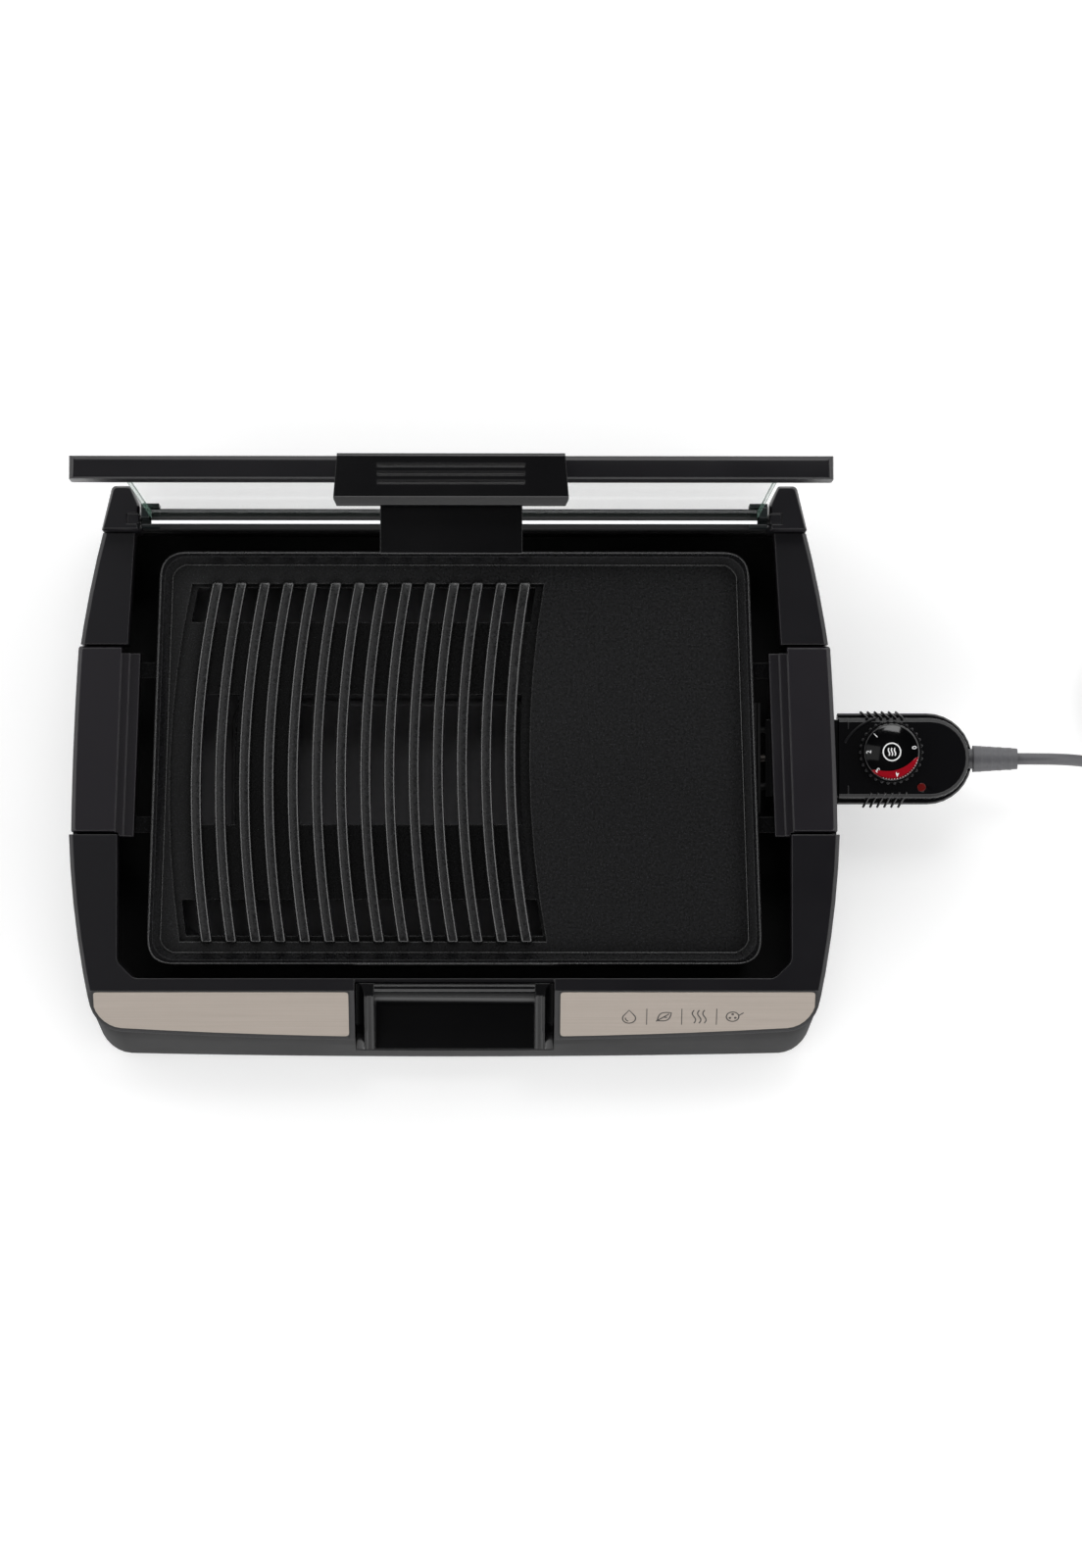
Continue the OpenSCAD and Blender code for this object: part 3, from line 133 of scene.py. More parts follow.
def stepped(angle, first, steps):
    """A value that eases from one level to the next over each stretch of the winding."""
    value = first
    for start, stop, after in steps:
        t = min(max((angle - start) / (stop - start), 0), 1)
        value += (after - value) * (3 * t * t - 2 * t ** 3) if t < 1 else after - value
    return value


def winding_points(step=7.5):
    """The coil's middle line, in mm from the middle of the base."""
    points = []
    angle = WINDING[0] + step
    while angle < WINDING[1] - step / 2:
        r = stepped(angle, TURN_RADII[0], RADIUS_STEPS)
        z = stepped(angle, LAYER_Z[0], HEIGHT_STEPS)
        a = math.radians(angle)
        points.append((COIL_MIDDLE[0] + r * math.cos(a), COIL_MIDDLE[1] + r * math.sin(a), z))
        angle += step
    return points


def smooth_line(points, between=6):
    """A Catmull-Rom line through given points."""
    ends = [points[0]] + list(points) + [points[-1]]
    line = []
    for p0, p1, p2, p3 in zip(ends, ends[1:], ends[2:], ends[3:]):
        p0, p1, p2, p3 = map(Vector, (p0, p1, p2, p3))
        for k in range(between):
            t = k / between
            line.append(0.5 * (2 * p1 + (p2 - p0) * t + (2 * p0 - 5 * p1 + 4 * p2 - p3) * t ** 2
                               + (3 * p1 - p0 - 3 * p2 + p3) * t ** 3))
    return line + [Vector(points[-1])]


# %% Join the two ends to the winding
lead_points = [Vector((RELIEF_END[0] + x, RELIEF_END[1] + y, z)) for x, y, z in LEAD_OUT]
tail_points = [Vector((COIL_MIDDLE[0] + x, COIL_MIDDLE[1] + y, z)) for x, y, z in TAIL]
lead_line = [at(*p) for p in smooth_line(lead_points) + winding_points() + smooth_line(tail_points)]

# %% [markdown]
# # The lead as a curve
# A curve with a round bevel is the plain way to draw a lead: one spline, one radius, no seams.

# %% Draw the lead
def curve_tube(name, line, radius, sides=12):
    """One open spline with a round section."""
    data = bpy.data.curves.new(name, "CURVE")
    data.dimensions = "3D"
    data.bevel_depth = radius
    data.bevel_resolution = sides // 4
    data.use_fill_caps = True
    spline = data.splines.new("POLY")
    spline.points.add(len(line) - 1)
    for point, place in zip(spline.points, line):
        point.co = (*place, 1)
    return new_object(name, data)


mains_lead = curve_tube("mains_lead", lead_line, LEAD_D / 2 * MM)

# %% [markdown]
# # A helper for node trees, and colours as written
# Every finish below is a small node tree. One function adds a node, sets its plain properties and fills
# its sockets with a value or another node's output. Colours are written as the hex codes that a colour
# picker shows, and are turned to the linear numbers that a shader works in.

# %% Helpers for materials
def linear(hex_code):
    """A hex colour as linear RGBA."""
    parts = [int(hex_code[i:i + 2], 16) / 255 for i in (1, 3, 5)]
    return tuple(c / 12.92 if c <= 0.04045 else ((c + 0.055) / 1.055) ** 2.4 for c in parts) + (1.0,)


def feed(node, **sockets):
    """Fills inputs, named with _ for a space, or i and a number. A node stands for its first output."""
    for key, value in sockets.items():
        name = key.replace("_", " ")
        socket = node.inputs[int(name[1:])] if name[0] == "i" and name[1:].isdigit() else node.inputs[name]
        if isinstance(value, bpy.types.Node):
            value = value.outputs[0]
        if isinstance(value, bpy.types.NodeSocket):
            node.id_data.links.new(value, socket)
        else:
            socket.default_value = value
    return node


def add(tree, kind, settings=None, **sockets):
    """Adds a node with its plain settings and its inputs."""
    node = tree.nodes.new(kind)
    for key, value in (settings or {}).items():
        setattr(node, key, value)
    return feed(node, **sockets)


def new_material(name):
    """An empty material: its tree, its surface shader and the object's own coordinates in metres."""
    material = bpy.data.materials.new(name)
    material.use_nodes = True
    tree = material.node_tree
    tree.nodes.clear()
    shader = add(tree, "ShaderNodeBsdfPrincipled")
    add(tree, "ShaderNodeOutputMaterial", Surface=shader)
    return material, tree, shader, add(tree, "ShaderNodeTexCoord").outputs["Object"]


def per_metre(size_mm):
    """Noise scale for features of a real size: the object's coordinates are in metres."""
    return 1000 / size_mm


# %% [markdown]
# # Satin moulded plastic
# The housings are injection-moulded ABS from a spark-eroded tool, which leaves a fine, even grain. The
# eye reads it as satin: a soft sheen without a mirror image. The grain is drawn a little coarser than the
# real 0.1 mm so that it shows, and a slow change of gloss stands for handling. The Bevel node turns the
# shading round within a real edge radius, so each moulded edge catches a line of light.

# %% Make the moulded plastics
HANDLING_MM = 60
EDGE_SAMPLES = 6


def moulded_plastic(name, colour, gloss_from, gloss_to, grain_mm=0.45, grain_depth_mm=0.012, edge_mm=0.9):
    material, tree, shader, place = new_material(name)
    grain = add(tree, "ShaderNodeTexNoise", Vector=place, Scale=per_metre(grain_mm), Detail=2.0,
                Roughness=0.6)
    wear = add(tree, "ShaderNodeTexNoise", Vector=place, Scale=per_metre(HANDLING_MM), Detail=3.0,
               Roughness=0.55)
    gloss = add(tree, "ShaderNodeMapRange", Value=wear, From_Min=0.3, From_Max=0.7,
                To_Min=gloss_from, To_Max=gloss_to)
    tint = add(tree, "ShaderNodeMix", {"data_type": "RGBA"}, i0=grain, i6=linear(colour[0]),
               i7=linear(colour[1]))
    bump = add(tree, "ShaderNodeBump", Height=grain, Strength=0.6, Distance=grain_depth_mm * MM)
    if edge_mm:
        edges = add(tree, "ShaderNodeBevel", {"samples": EDGE_SAMPLES}, Radius=edge_mm * MM)
        feed(bump, Normal=edges)
    feed(shader, Base_Color=tint.outputs[2], Roughness=gloss, Normal=bump, IOR=1.5)
    return material


SATIN_ABS = moulded_plastic("satin_moulded_abs", ("#0d0c0f", "#131216"), 0.27, 0.34, edge_mm=1.0)
HANDLE_PHENOLIC = moulded_plastic("satin_moulded_phenolic", ("#171519", "#1e1c20"), 0.28, 0.35, edge_mm=1.1)
TUB_ABS = moulded_plastic("matt_moulded_abs", ("#050506", "#09090b"), 0.66, 0.76)
LID_ABS = moulded_plastic("fine_moulded_abs", ("#050506", "#09090b"), 0.18, 0.24, edge_mm=0.7)
HINGE_ABS = moulded_plastic("hinge_block_nylon", ("#050b0c", "#0a1314"), 0.30, 0.40, edge_mm=0.4)
PROBE_ABS = moulded_plastic("polished_moulded_abs", ("#060608", "#0a0a0c"), 0.14, 0.20, 0.6, 0.002, 0.35)
DIAL_GLOSS = moulded_plastic("polished_black_acrylic", ("#040405", "#070708"), 0.05, 0.08, 0.8, 0.001, 0.4)
CERAMIC = moulded_plastic("steatite_ceramic", ("#c9bfa9", "#d8cfba"), 0.45, 0.6)

# %% [markdown]
# # Non-stick coating on cast aluminium
# The plate is grit-blasted and sprayed with a PTFE coating. Sprayed on a blasted casting it dries to an
# orange-peel skin with fine bright flecks, which is why a griddle glitters slightly instead of shining.
# Hollows are darker than crowns because less light reaches them: an ambient occlusion mask paints that
# shade into the colour and lowers the reflection there. Walls that rise from the griddle reflect less, a
# painted shade. Crests and beads get a copy of the coating that reflects more, a painted highlight.

# %% Make the non-stick coating
SHADE_REACH_MM = 14
OPEN_SHEEN = 0.62
WALL_SHADED_SHEEN = 0.3
WALL_FADE_MM = 0.6
GRIDDLE_Z = 60


def nonstick_coating(name, index, shade_walls_above_mm=None, edge_mm=0.9):
    material, tree, shader, place = new_material(name)
    peel = add(tree, "ShaderNodeTexNoise", Vector=place, Scale=per_metre(1.5), Detail=3.0, Roughness=0.65)
    grit = add(tree, "ShaderNodeTexVoronoi", Vector=place, Scale=per_metre(0.9))
    height = add(tree, "ShaderNodeMath", {"operation": "MULTIPLY_ADD"}, i0=grit, i1=0.35, i2=peel)
    fleck = add(tree, "ShaderNodeTexNoise", Vector=place, Scale=per_metre(0.8), Detail=1.0, Roughness=0.5)
    fleck_mask = add(tree, "ShaderNodeMapRange", Value=fleck, From_Min=0.60, From_Max=0.72,
                     To_Min=0.0, To_Max=1.0)
    tint = add(tree, "ShaderNodeMix", {"data_type": "RGBA"}, i0=fleck_mask,
               i6=linear("#09090a"), i7=linear("#2c2c30"))
    gloss = add(tree, "ShaderNodeMapRange", Value=peel, From_Min=0.35, From_Max=0.65,
                To_Min=0.24, To_Max=0.36)
    edges = add(tree, "ShaderNodeBevel", {"samples": EDGE_SAMPLES}, Radius=edge_mm * MM)
    bump = add(tree, "ShaderNodeBump", Height=height, Strength=0.7, Distance=0.05 * MM, Normal=edges)
    # painted shade: ambient occlusion darkens the colour and lowers the reflection in hollows, between ribs
    # and beside walls
    occlusion = add(tree, "ShaderNodeAmbientOcclusion", {"samples": 4}, Distance=SHADE_REACH_MM * MM)
    light_reach = add(tree, "ShaderNodeMapRange", Value=occlusion.outputs["AO"], From_Min=0.45, From_Max=0.92,
                   To_Min=0.12, To_Max=1.0)
    shaded_sheen = add(tree, "ShaderNodeMath", {"operation": "MULTIPLY"}, i0=light_reach, i1=OPEN_SHEEN)
    if shade_walls_above_mm:
        # painted shade: walls that rise from the griddle reflect less, so they stay darker than the griddle
        rise = add(tree, "ShaderNodeSeparateXYZ", Vector=place).outputs["Z"]
        wall_shade = add(tree, "ShaderNodeMapRange", Value=rise, From_Min=shade_walls_above_mm * MM,
                   From_Max=(shade_walls_above_mm + WALL_FADE_MM) * MM, To_Min=1.0, To_Max=WALL_SHADED_SHEEN)
        shaded_sheen = add(tree, "ShaderNodeMath", {"operation": "MULTIPLY"}, i0=shaded_sheen, i1=wall_shade)
    # painted shade: the colour goes to near black where little light reaches
    painted_shade_tint = add(tree, "ShaderNodeMix", {"data_type": "RGBA"}, i0=light_reach, i6=linear("#030303"),
               i7=tint.outputs[2])
    feed(shader, Base_Color=painted_shade_tint.outputs[2], Specular_IOR_Level=shaded_sheen, Roughness=gloss, Normal=bump,
         IOR=index)
    return material


NONSTICK = nonstick_coating("ptfe_on_cast_aluminium", 1.6, shade_walls_above_mm=GRIDDLE_Z + 0.4)
# painted highlight: the same coating with a higher IOR, so rib crowns and rim beads reflect more and draw
# bright lines
NONSTICK_HIGHLIGHT = nonstick_coating("ptfe_painted_highlight", 1.8)

# %% [markdown]
# # Brushed and plain metals
# Brushing drags fine parallel scratches along the sheet, so the noise is stretched two hundred times
# along X. The trims are stainless steel with a warm tint, the glass is held by an anodised rail, and
# screws and pins are zinc-plated.

# %% Make the metals
GLOSS_SPREAD = 0.06


def brushed_metal(name, colour, gloss, scratch_mm=0.5, stretch=200, scratch_depth_mm=0.004):
    material, tree, shader, place = new_material(name)
    stretched = add(tree, "ShaderNodeMapping", Vector=place, Scale=(1 / stretch, 1.0, 1.0))
    scratches = add(tree, "ShaderNodeTexNoise", Vector=stretched,
                    Scale=per_metre(scratch_mm), Detail=4.0, Roughness=0.7)
    tint = add(tree, "ShaderNodeMix", {"data_type": "RGBA"}, i0=scratches,
               i6=linear(colour[0]), i7=linear(colour[1]))
    polish = add(tree, "ShaderNodeMapRange", Value=scratches, From_Min=0.3, From_Max=0.7,
                 To_Min=gloss - GLOSS_SPREAD, To_Max=gloss + GLOSS_SPREAD)
    bump = add(tree, "ShaderNodeBump", Height=scratches, Strength=0.5, Distance=scratch_depth_mm * MM)
    feed(shader, Metallic=1.0, Base_Color=tint.outputs[2], Roughness=polish, Normal=bump)
    return material


TRIM_STEEL = brushed_metal("warm_brushed_steel", ("#8d857d", "#a69d95"), 0.34)
RAIL_ALUMINIUM = brushed_metal("anodised_aluminium", ("#c4c6c7", "#d6d8d9"), 0.3)
ZINC_STEEL = brushed_metal("zinc_plated_steel", ("#8d8f92", "#a8aaad"), 0.3, 0.3, 8)
PIN_STEEL = brushed_metal("turned_steel", ("#9a9a9b", "#b9b9ba"), 0.24, 0.3, 1 / 20)
BRASS = brushed_metal("contact_brass", ("#b08d45", "#c9a558"), 0.3, 0.4, 10)
SHEATH = brushed_metal("oxidised_heater_sheath", ("#3b3837", "#5a5552"), 0.48, 1.2, 3, 0.02)

# %% [markdown]
# # Toughened glass
# The lid's pane is thin next to its width, so it is drawn as a film that lets nearly all light through
# and dims the rest with a dark grey-green, as a pane does by taking light away. Along its cut edges the
# light has come a long way through the glass, and there the green is strong: a mask from the object's own
# coordinates finds them.

# %% Make the glass
GLASS_HALF_W = 180.3
GLASS_COVER = 0.10
GLASS_EDGE_COVER = 0.85


def thin_glass(name, half_w_mm, edge_mm=0.5):
    material, tree, shader, place = new_material(name)
    across = add(tree, "ShaderNodeSeparateXYZ", Vector=place).outputs["X"]
    middle = add(tree, "ShaderNodeMath", {"operation": "SUBTRACT"}, i0=across, i1=MIDDLE_X)
    off = add(tree, "ShaderNodeMath", {"operation": "ABSOLUTE"}, i0=middle)
    edge = add(tree, "ShaderNodeMath", {"operation": "GREATER_THAN"}, i0=off, i1=(half_w_mm - edge_mm) * MM)
    cover = add(tree, "ShaderNodeMapRange", Value=edge, To_Min=GLASS_COVER, To_Max=GLASS_EDGE_COVER)
    tint = add(tree, "ShaderNodeMix", {"data_type": "RGBA"}, i0=edge, i6=linear("#46524d"),
               i7=linear("#8fb3a4"))
    feed(shader, Base_Color=tint.outputs[2], Alpha=cover, Roughness=0.03, IOR=1.52)
    return material


LID_GLASS = thin_glass("toughened_soda_lime_glass", GLASS_HALF_W)

# %% [markdown]
# # Enamel, rubber, PVC and printing ink
# The drip tray is pressed steel under grey enamel, which flows to a smooth skin with a slight wave.
# Rubber and soft PVC scatter light from a fine bloom, so they stay matt. Inks are thin and even; they are
# drawn as their own flat pieces, which keeps their edges sharp at any size.

# %% Make the enamel, soft plastics and inks
TRAY_ENAMEL = moulded_plastic("grey_enamel_on_steel", ("#6a696c", "#767578"), 0.28, 0.31, 3.0, 0.01)
SHROUD_BLACK = moulded_plastic("blacked_steel", ("#0c0c0d", "#121213"), 0.5, 0.6)
RUBBER = moulded_plastic("black_rubber", ("#131313", "#1a1a1b"), 0.6, 0.72, 0.8, 0.02)
LEAD_PVC = moulded_plastic("dark_grey_soft_pvc", ("#4d4d50", "#59595c"), 0.42, 0.5, 1.2, 0.01)
LAMP_RED = moulded_plastic("red_polycarbonate", ("#4a0d0c", "#641513"), 0.08, 0.12, 0.8, 0.002, 0.5)
DIAL_RED = moulded_plastic("red_back_print", ("#7c0c17", "#98101e"), 0.06, 0.1, 0.8, 0.001, 0)
WHITE_INK = moulded_plastic("white_pad_ink", ("#d9d9d9", "#e4e4e4"), 0.4, 0.5, 0.5, 0.003, 0)
ETCH_INK = moulded_plastic("grey_etched_mark", ("#2b2725", "#38332f"), 0.5, 0.6, 0.5, 0.003, 0)

# %% [markdown]
# # Edges
# No moulding has a razor edge: the tool's corners are rounded, and those small radii catch the light as
# the thin bright lines that make black plastic readable. The frame's parts come as loose triangles, so
# each one gets a Weld first and then a Bevel of its real edge radius, and normals weighted by face size
# keep the flats flat.

# %% Finish the frame's own parts
# each finish, its edge radius in mm, and the parts that have it
FINISHES = [
    (SATIN_ABS, 0.7, "front_housing side_cover_left side_cover_right"),
    (SATIN_ABS, 0.6, "hinge_tower_left hinge_tower_right"),
    (SATIN_ABS, 0.8, "lid_bar"),
    (HANDLE_PHENOLIC, 0.7, "side_handle_left side_handle_right"),
    (TUB_ABS, 0.7, "base_tub"),
    (LID_ABS, 0.6, "recess_panel"),
    (LID_ABS, 0.5, "lid_handle lid_flap"),
    (HINGE_ABS, 0.3, "hinge_pin_left hinge_pin_right"),
    (PROBE_ABS, 0.4, "probe_upper_shell probe_lower_shell"),
    (PROBE_ABS, 0.35, "dial_skirt"),
    (ZINC_STEEL, 0.2, "base_screws side_handle_screws lid_handle_screws probe_screws"),
    (PIN_STEEL, 0.3, "dial_spindle"),
    (PIN_STEEL, 0.6, "plug_pins"),
    (SHROUD_BLACK, 0.3, "terminal_pins socket_shroud"),
    (SHEATH, 0, "heating_element sensor_rod"),
    (BRASS, 0.15, "probe_contacts"),
    (NONSTICK, 0.45, "cooking_plate"),
    (TRAY_ENAMEL, 0.5, "drip_tray"),
    (LID_GLASS, 0.4, "lid_glass"),
    (RUBBER, 0.4, "rubber_feet"),
    (CERAMIC, 0.5, "thermostat_switch"),
    (LAMP_RED, 0.5, "lamp_lens"),
    (LEAD_PVC, 0.4, "strain_relief"),
    (LEAD_PVC, 1.2, "plug_body"),
]
WELD_MM = 0.004


def round_edges(piece, edge_mm, segments=2, sharper_than=28):
    """Rounds the edges that turn by more than an angle, and weights the normals by face size."""
    if edge_mm:
        bevel = piece.modifiers.new("edges", "BEVEL")
        bevel.width = edge_mm * MM
        bevel.segments = segments
        bevel.limit_method = "ANGLE"
        bevel.angle_limit = math.radians(sharper_than)
    piece.modifiers.new("normals", "WEIGHTED_NORMAL").keep_sharp = True


for material, edge_mm, names in FINISHES:
    for name in names.split():
        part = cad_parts[name]
        part.data.materials.clear()
        part.data.materials.append(material)
        part.modifiers.new("weld", "WELD").merge_threshold = WELD_MM * MM
        round_edges(part, edge_mm)
        part.data.shade_smooth()
    print(material.name, "on", names)

# %% [markdown]
# # Geometry Nodes: a tree and the mesh it grows
# What repeats by a rule is grown by a node tree: the ribs of the plate, the knurls of the dial, the
# ridges of the probe. The tree gets named inputs for its sizes. The grown shape is then kept as a plain
# mesh, so that it rides and exports like any other piece.

# %% Helpers for grown pieces
def geometry_tree(name, inputs):
    """An empty tree with one number input for each name, its sockets by name, and its output node."""
    tree = bpy.data.node_groups.new(name, "GeometryNodeTree")
    for label, value in inputs.items():
        kind = "NodeSocketInt" if isinstance(value, int) else "NodeSocketFloat"
        tree.interface.new_socket(label, in_out="INPUT", socket_type=kind)
    tree.interface.new_socket("Geometry", in_out="OUTPUT", socket_type="NodeSocketGeometry")
    entry = tree.nodes.new("NodeGroupInput")
    return tree, {label: entry.outputs[label] for label in inputs}, tree.nodes.new("NodeGroupOutput")


def end_tree(tree, out, shape, place, material):
    """Ends a tree: makes copies real, sets them in place and coats them."""
    solid = add(tree, "GeometryNodeRealizeInstances", Geometry=shape)
    placed = add(tree, "GeometryNodeTransform", Geometry=solid, Translation=place)
    feed(out, Geometry=add(tree, "GeometryNodeSetMaterial", Geometry=placed, Material=material))
    return tree


def grow(name, tree, inputs, edge_mm, segments=2):
    """Runs a tree on an empty host, rounds the edges and keeps the result as a plain mesh."""
    host = new_object(name, bpy.data.meshes.new(name + "_host"))
    nodes = host.modifiers.new("grow", "NODES")
    nodes.node_group = tree
    for item in tree.interface.items_tree:
        if item.in_out == "INPUT":
            nodes[item.identifier] = inputs[item.name]
    round_edges(host, edge_mm, segments, sharper_than=35)
    evaluated = host.evaluated_get(bpy.context.evaluated_depsgraph_get())
    mesh = bpy.data.meshes.new_from_object(evaluated)
    mesh.shade_smooth()
    host.modifiers.clear()
    host.data = mesh
    print(name, "grown:", len(mesh.polygons), "faces")
    return host


# %% [markdown]
# # The ribs of the cooking plate
# Fourteen ribs bow to the left and fan out a little towards the front. The casting rounds every one of
# them, more than the plain frame shows, so each rib gets a rounded crown that fits over it. One box with
# many cuts along its length is copied fourteen times, and every point is then pushed sideways by the rule
# that the ribs follow: a straight line from its rear to its front place, less a bow that is greatest
# halfway.

# %% Grow the rib crowns
PLATE_HALF_REAR = 175.6
PLATE_HALF_FRONT = 183.6
RIB_RULE = {
    "Count": 14,
    "Rear start": -0.805 * PLATE_HALF_REAR * MM, "Rear pitch": 0.0804 * PLATE_HALF_REAR * MM,
    "Front start": -0.805 * PLATE_HALF_FRONT * MM, "Front pitch": 0.08 * PLATE_HALF_FRONT * MM,
    "Bow": 9.6 * MM, "Width": 6.5 * MM, "Length": 215.3 * MM, "Height": 7.3 * MM,
}
RIB_MIDDLE_Y = 5.5
RIB_CROWN_Z = 63.8


def rib_tree():
    tree, size, out = geometry_tree("rib_crowns", RIB_RULE)
    block = add(tree, "ShaderNodeCombineXYZ", X=size["Width"], Y=size["Length"], Z=size["Height"])
    rib = add(tree, "GeometryNodeMeshCube", Size=block, Vertices_X=2, Vertices_Y=28, Vertices_Z=2)
    spots = add(tree, "GeometryNodePoints", Count=size["Count"])
    copies = add(tree, "GeometryNodeInstanceOnPoints", Points=spots, Instance=rib)
    number = add(tree, "GeometryNodeInputIndex")
    named = add(tree, "GeometryNodeStoreNamedAttribute", {"data_type": "FLOAT", "domain": "INSTANCE"},
                Geometry=copies, Name="rib", Value=number)
    solid = add(tree, "GeometryNodeRealizeInstances", Geometry=named)
    which = add(tree, "GeometryNodeInputNamedAttribute", {"data_type": "FLOAT"}, Name="rib")
    place = add(tree, "GeometryNodeInputPosition")
    along = add(tree, "ShaderNodeSeparateXYZ", Vector=place)
    half = add(tree, "ShaderNodeMath", {"operation": "MULTIPLY"}, i0=size["Length"], i1=0.5)
    # from 1 at the rear end to -1 at the front end
    reach = add(tree, "ShaderNodeMath", {"operation": "DIVIDE"}, i0=along.outputs["Y"], i1=half)
    rear = add(tree, "ShaderNodeMath", {"operation": "MULTIPLY_ADD"}, i0=which,
               i1=size["Rear pitch"], i2=size["Rear start"])
    front = add(tree, "ShaderNodeMath", {"operation": "MULTIPLY_ADD"}, i0=which,
                i1=size["Front pitch"], i2=size["Front start"])
    line = add(tree, "ShaderNodeMapRange", Value=reach, From_Min=-1.0, From_Max=1.0,
               To_Min=front, To_Max=rear)
    square = add(tree, "ShaderNodeMath", {"operation": "MULTIPLY"}, i0=reach, i1=reach)
    less = add(tree, "ShaderNodeMath", {"operation": "SUBTRACT"}, i0=square, i1=1.0)
    across = add(tree, "ShaderNodeMath", {"operation": "MULTIPLY_ADD"}, i0=less, i1=size["Bow"], i2=line)
    shift = add(tree, "ShaderNodeCombineXYZ", X=across)
    bent = add(tree, "GeometryNodeSetPosition", Geometry=solid, Offset=shift)
    height = RIB_CROWN_Z - RIB_RULE["Height"] / MM / 2
    return end_tree(tree, out, bent, at(0, RIB_MIDDLE_Y, height), NONSTICK_HIGHLIGHT)


rib_crowns = grow("rib_crowns", rib_tree(), RIB_RULE, edge_mm=1.35, segments=3)
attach(rib_crowns, "plate")

# %% [markdown]
# # Pieces built point by point
# Some pieces are easiest as a flat outline pushed through space. One helper skins a ring of points at
# each of several stations, and one keeps the result as a finished piece that rides on its body.

# %% Helpers for built pieces
def skin(bm, rings, closed=False):
    """Joins rings of as many points each by faces, and caps the ends unless the run closes on itself."""
    rows = [[bm.verts.new(p) for p in ring] for ring in rings]
    pairs = list(zip(rows, rows[1:])) + ([(rows[-1], rows[0])] if closed else [])
    for low, high in pairs:
        for i in range(len(low)):
            j = (i + 1) % len(low)
            bm.faces.new((low[i], low[j], high[j], high[i]))
    if not closed:
        bm.faces.new(list(reversed(rows[0])))
        bm.faces.new(rows[-1])


def keep(name, bm, material, body, edge_mm=0.0):
    """Turns a bmesh into a finished piece that rides on a body."""
    bmesh.ops.recalc_face_normals(bm, faces=bm.faces)
    mesh = bpy.data.meshes.new(name)
    bm.to_mesh(mesh)
    bm.free()
    mesh.materials.append(material)
    mesh.shade_smooth()
    piece = new_object(name, mesh)
    round_edges(piece, edge_mm)
    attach(piece, body)
    print(name, "built:", len(mesh.polygons), "faces")
    return piece


def ribbon(bm, points, width, thick, to_world, closed=False):
    """A flat strip of a given width along 2D points; to_world takes across, along and height in mm."""
    line = [Vector(p) for p in points]
    rings = []
    for i, p in enumerate(line):
        before = line[i - 1] if i or closed else p
        after = line[(i + 1) % len(line)] if i + 1 < len(line) or closed else p
        way = (after - before).normalized()
        side = Vector((-way.y, way.x)) * width / 2
        left, right = p + side, p - side
        rings.append([to_world(left.x, left.y, 0), to_world(right.x, right.y, 0),
                      to_world(right.x, right.y, thick), to_world(left.x, left.y, thick)])
    skin(bm, rings, closed)


def arc_points(middle, radius, start, stop, steps):
    """Points along an arc, with its angles in degrees."""
    angles = [math.radians(start + (stop - start) * i / steps) for i in range(steps + 1)]
    return [(middle[0] + radius * math.cos(a), middle[1] + radius * math.sin(a)) for a in angles]


def corner_views(points):
    """Each point of a closed outline as a vector, with the one before it and the one after it."""
    line = [Vector(p) for p in points]
    return zip([line[-1]] + line, line, line[1:] + [line[0]])


# %% [markdown]
# # The trim plates
# Two brushed plates lie on the sloping fascia. A thin black strip under them, a little wider, shows as a
# dark
# line around them: a painted shadow of the gap at their edges. Their outline is already in the frame, so it
# is
# read from there: the faces that look along the slope's normal are kept, and their border is walked once
# round.
# The corners are then rounded as a press tool does.

# %% Read the outline off the fascia
FASCIA_SLOPE = math.radians(42)
FASCIA_TOP_Y = -130.8
RIM_Z = 76
TRIM_T, TRIM_PROUD, TRIM_CORNER_R = 1.0, 0.3, 2.6
SHADOW_BORDER, SHADOW_LAYER = 1.25, (-0.2, 0.12)
FASCIA_OUT = Vector((0, -math.sin(FASCIA_SLOPE), math.cos(FASCIA_SLOPE)))
FASCIA_DOWN = Vector((0, -math.cos(FASCIA_SLOPE), -math.sin(FASCIA_SLOPE)))
FASCIA_TOP = at(0, FASCIA_TOP_Y, RIM_Z)


def on_fascia(x, down, out):
    """A place on the fascia: mm from the centre line, down the slope and out of it."""
    return FASCIA_TOP + Vector((x * MM, 0, 0)) + FASCIA_DOWN * (down * MM) + FASCIA_OUT * (out * MM)


def fascia_outline(node):
    """The border of a part's outer face on the fascia, as [x, down] in mm, in order."""
    bm = bmesh.new()
    bm.from_mesh(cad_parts[node].data)
    bmesh.ops.remove_doubles(bm, verts=bm.verts, dist=WELD_MM * MM)
    away = [f for f in bm.faces if f.normal.dot(FASCIA_OUT) < 0.999]
    bmesh.ops.delete(bm, geom=away, context="FACES")
    border = {e for e in bm.edges if e.is_boundary}
    edge = min(border, key=lambda e: sorted(tuple(v.co) for v in e.verts))
    border.discard(edge)
    loop = list(edge.verts)
    while loop[-1] is not loop[0]:
        edge = next(e for e in loop[-1].link_edges if e in border)
        border.discard(edge)
        loop.append(edge.other_vert(loop[-1]))
    flat = [((v.co - FASCIA_TOP).x / MM, (v.co - FASCIA_TOP).dot(FASCIA_DOWN) / MM) for v in loop[:-1]]
    bm.free()
    area = sum(a[0] * b[1] - b[0] * a[1] for a, b in zip(flat, flat[1:] + flat[:1]))
    return flat if area > 0 else flat[::-1]


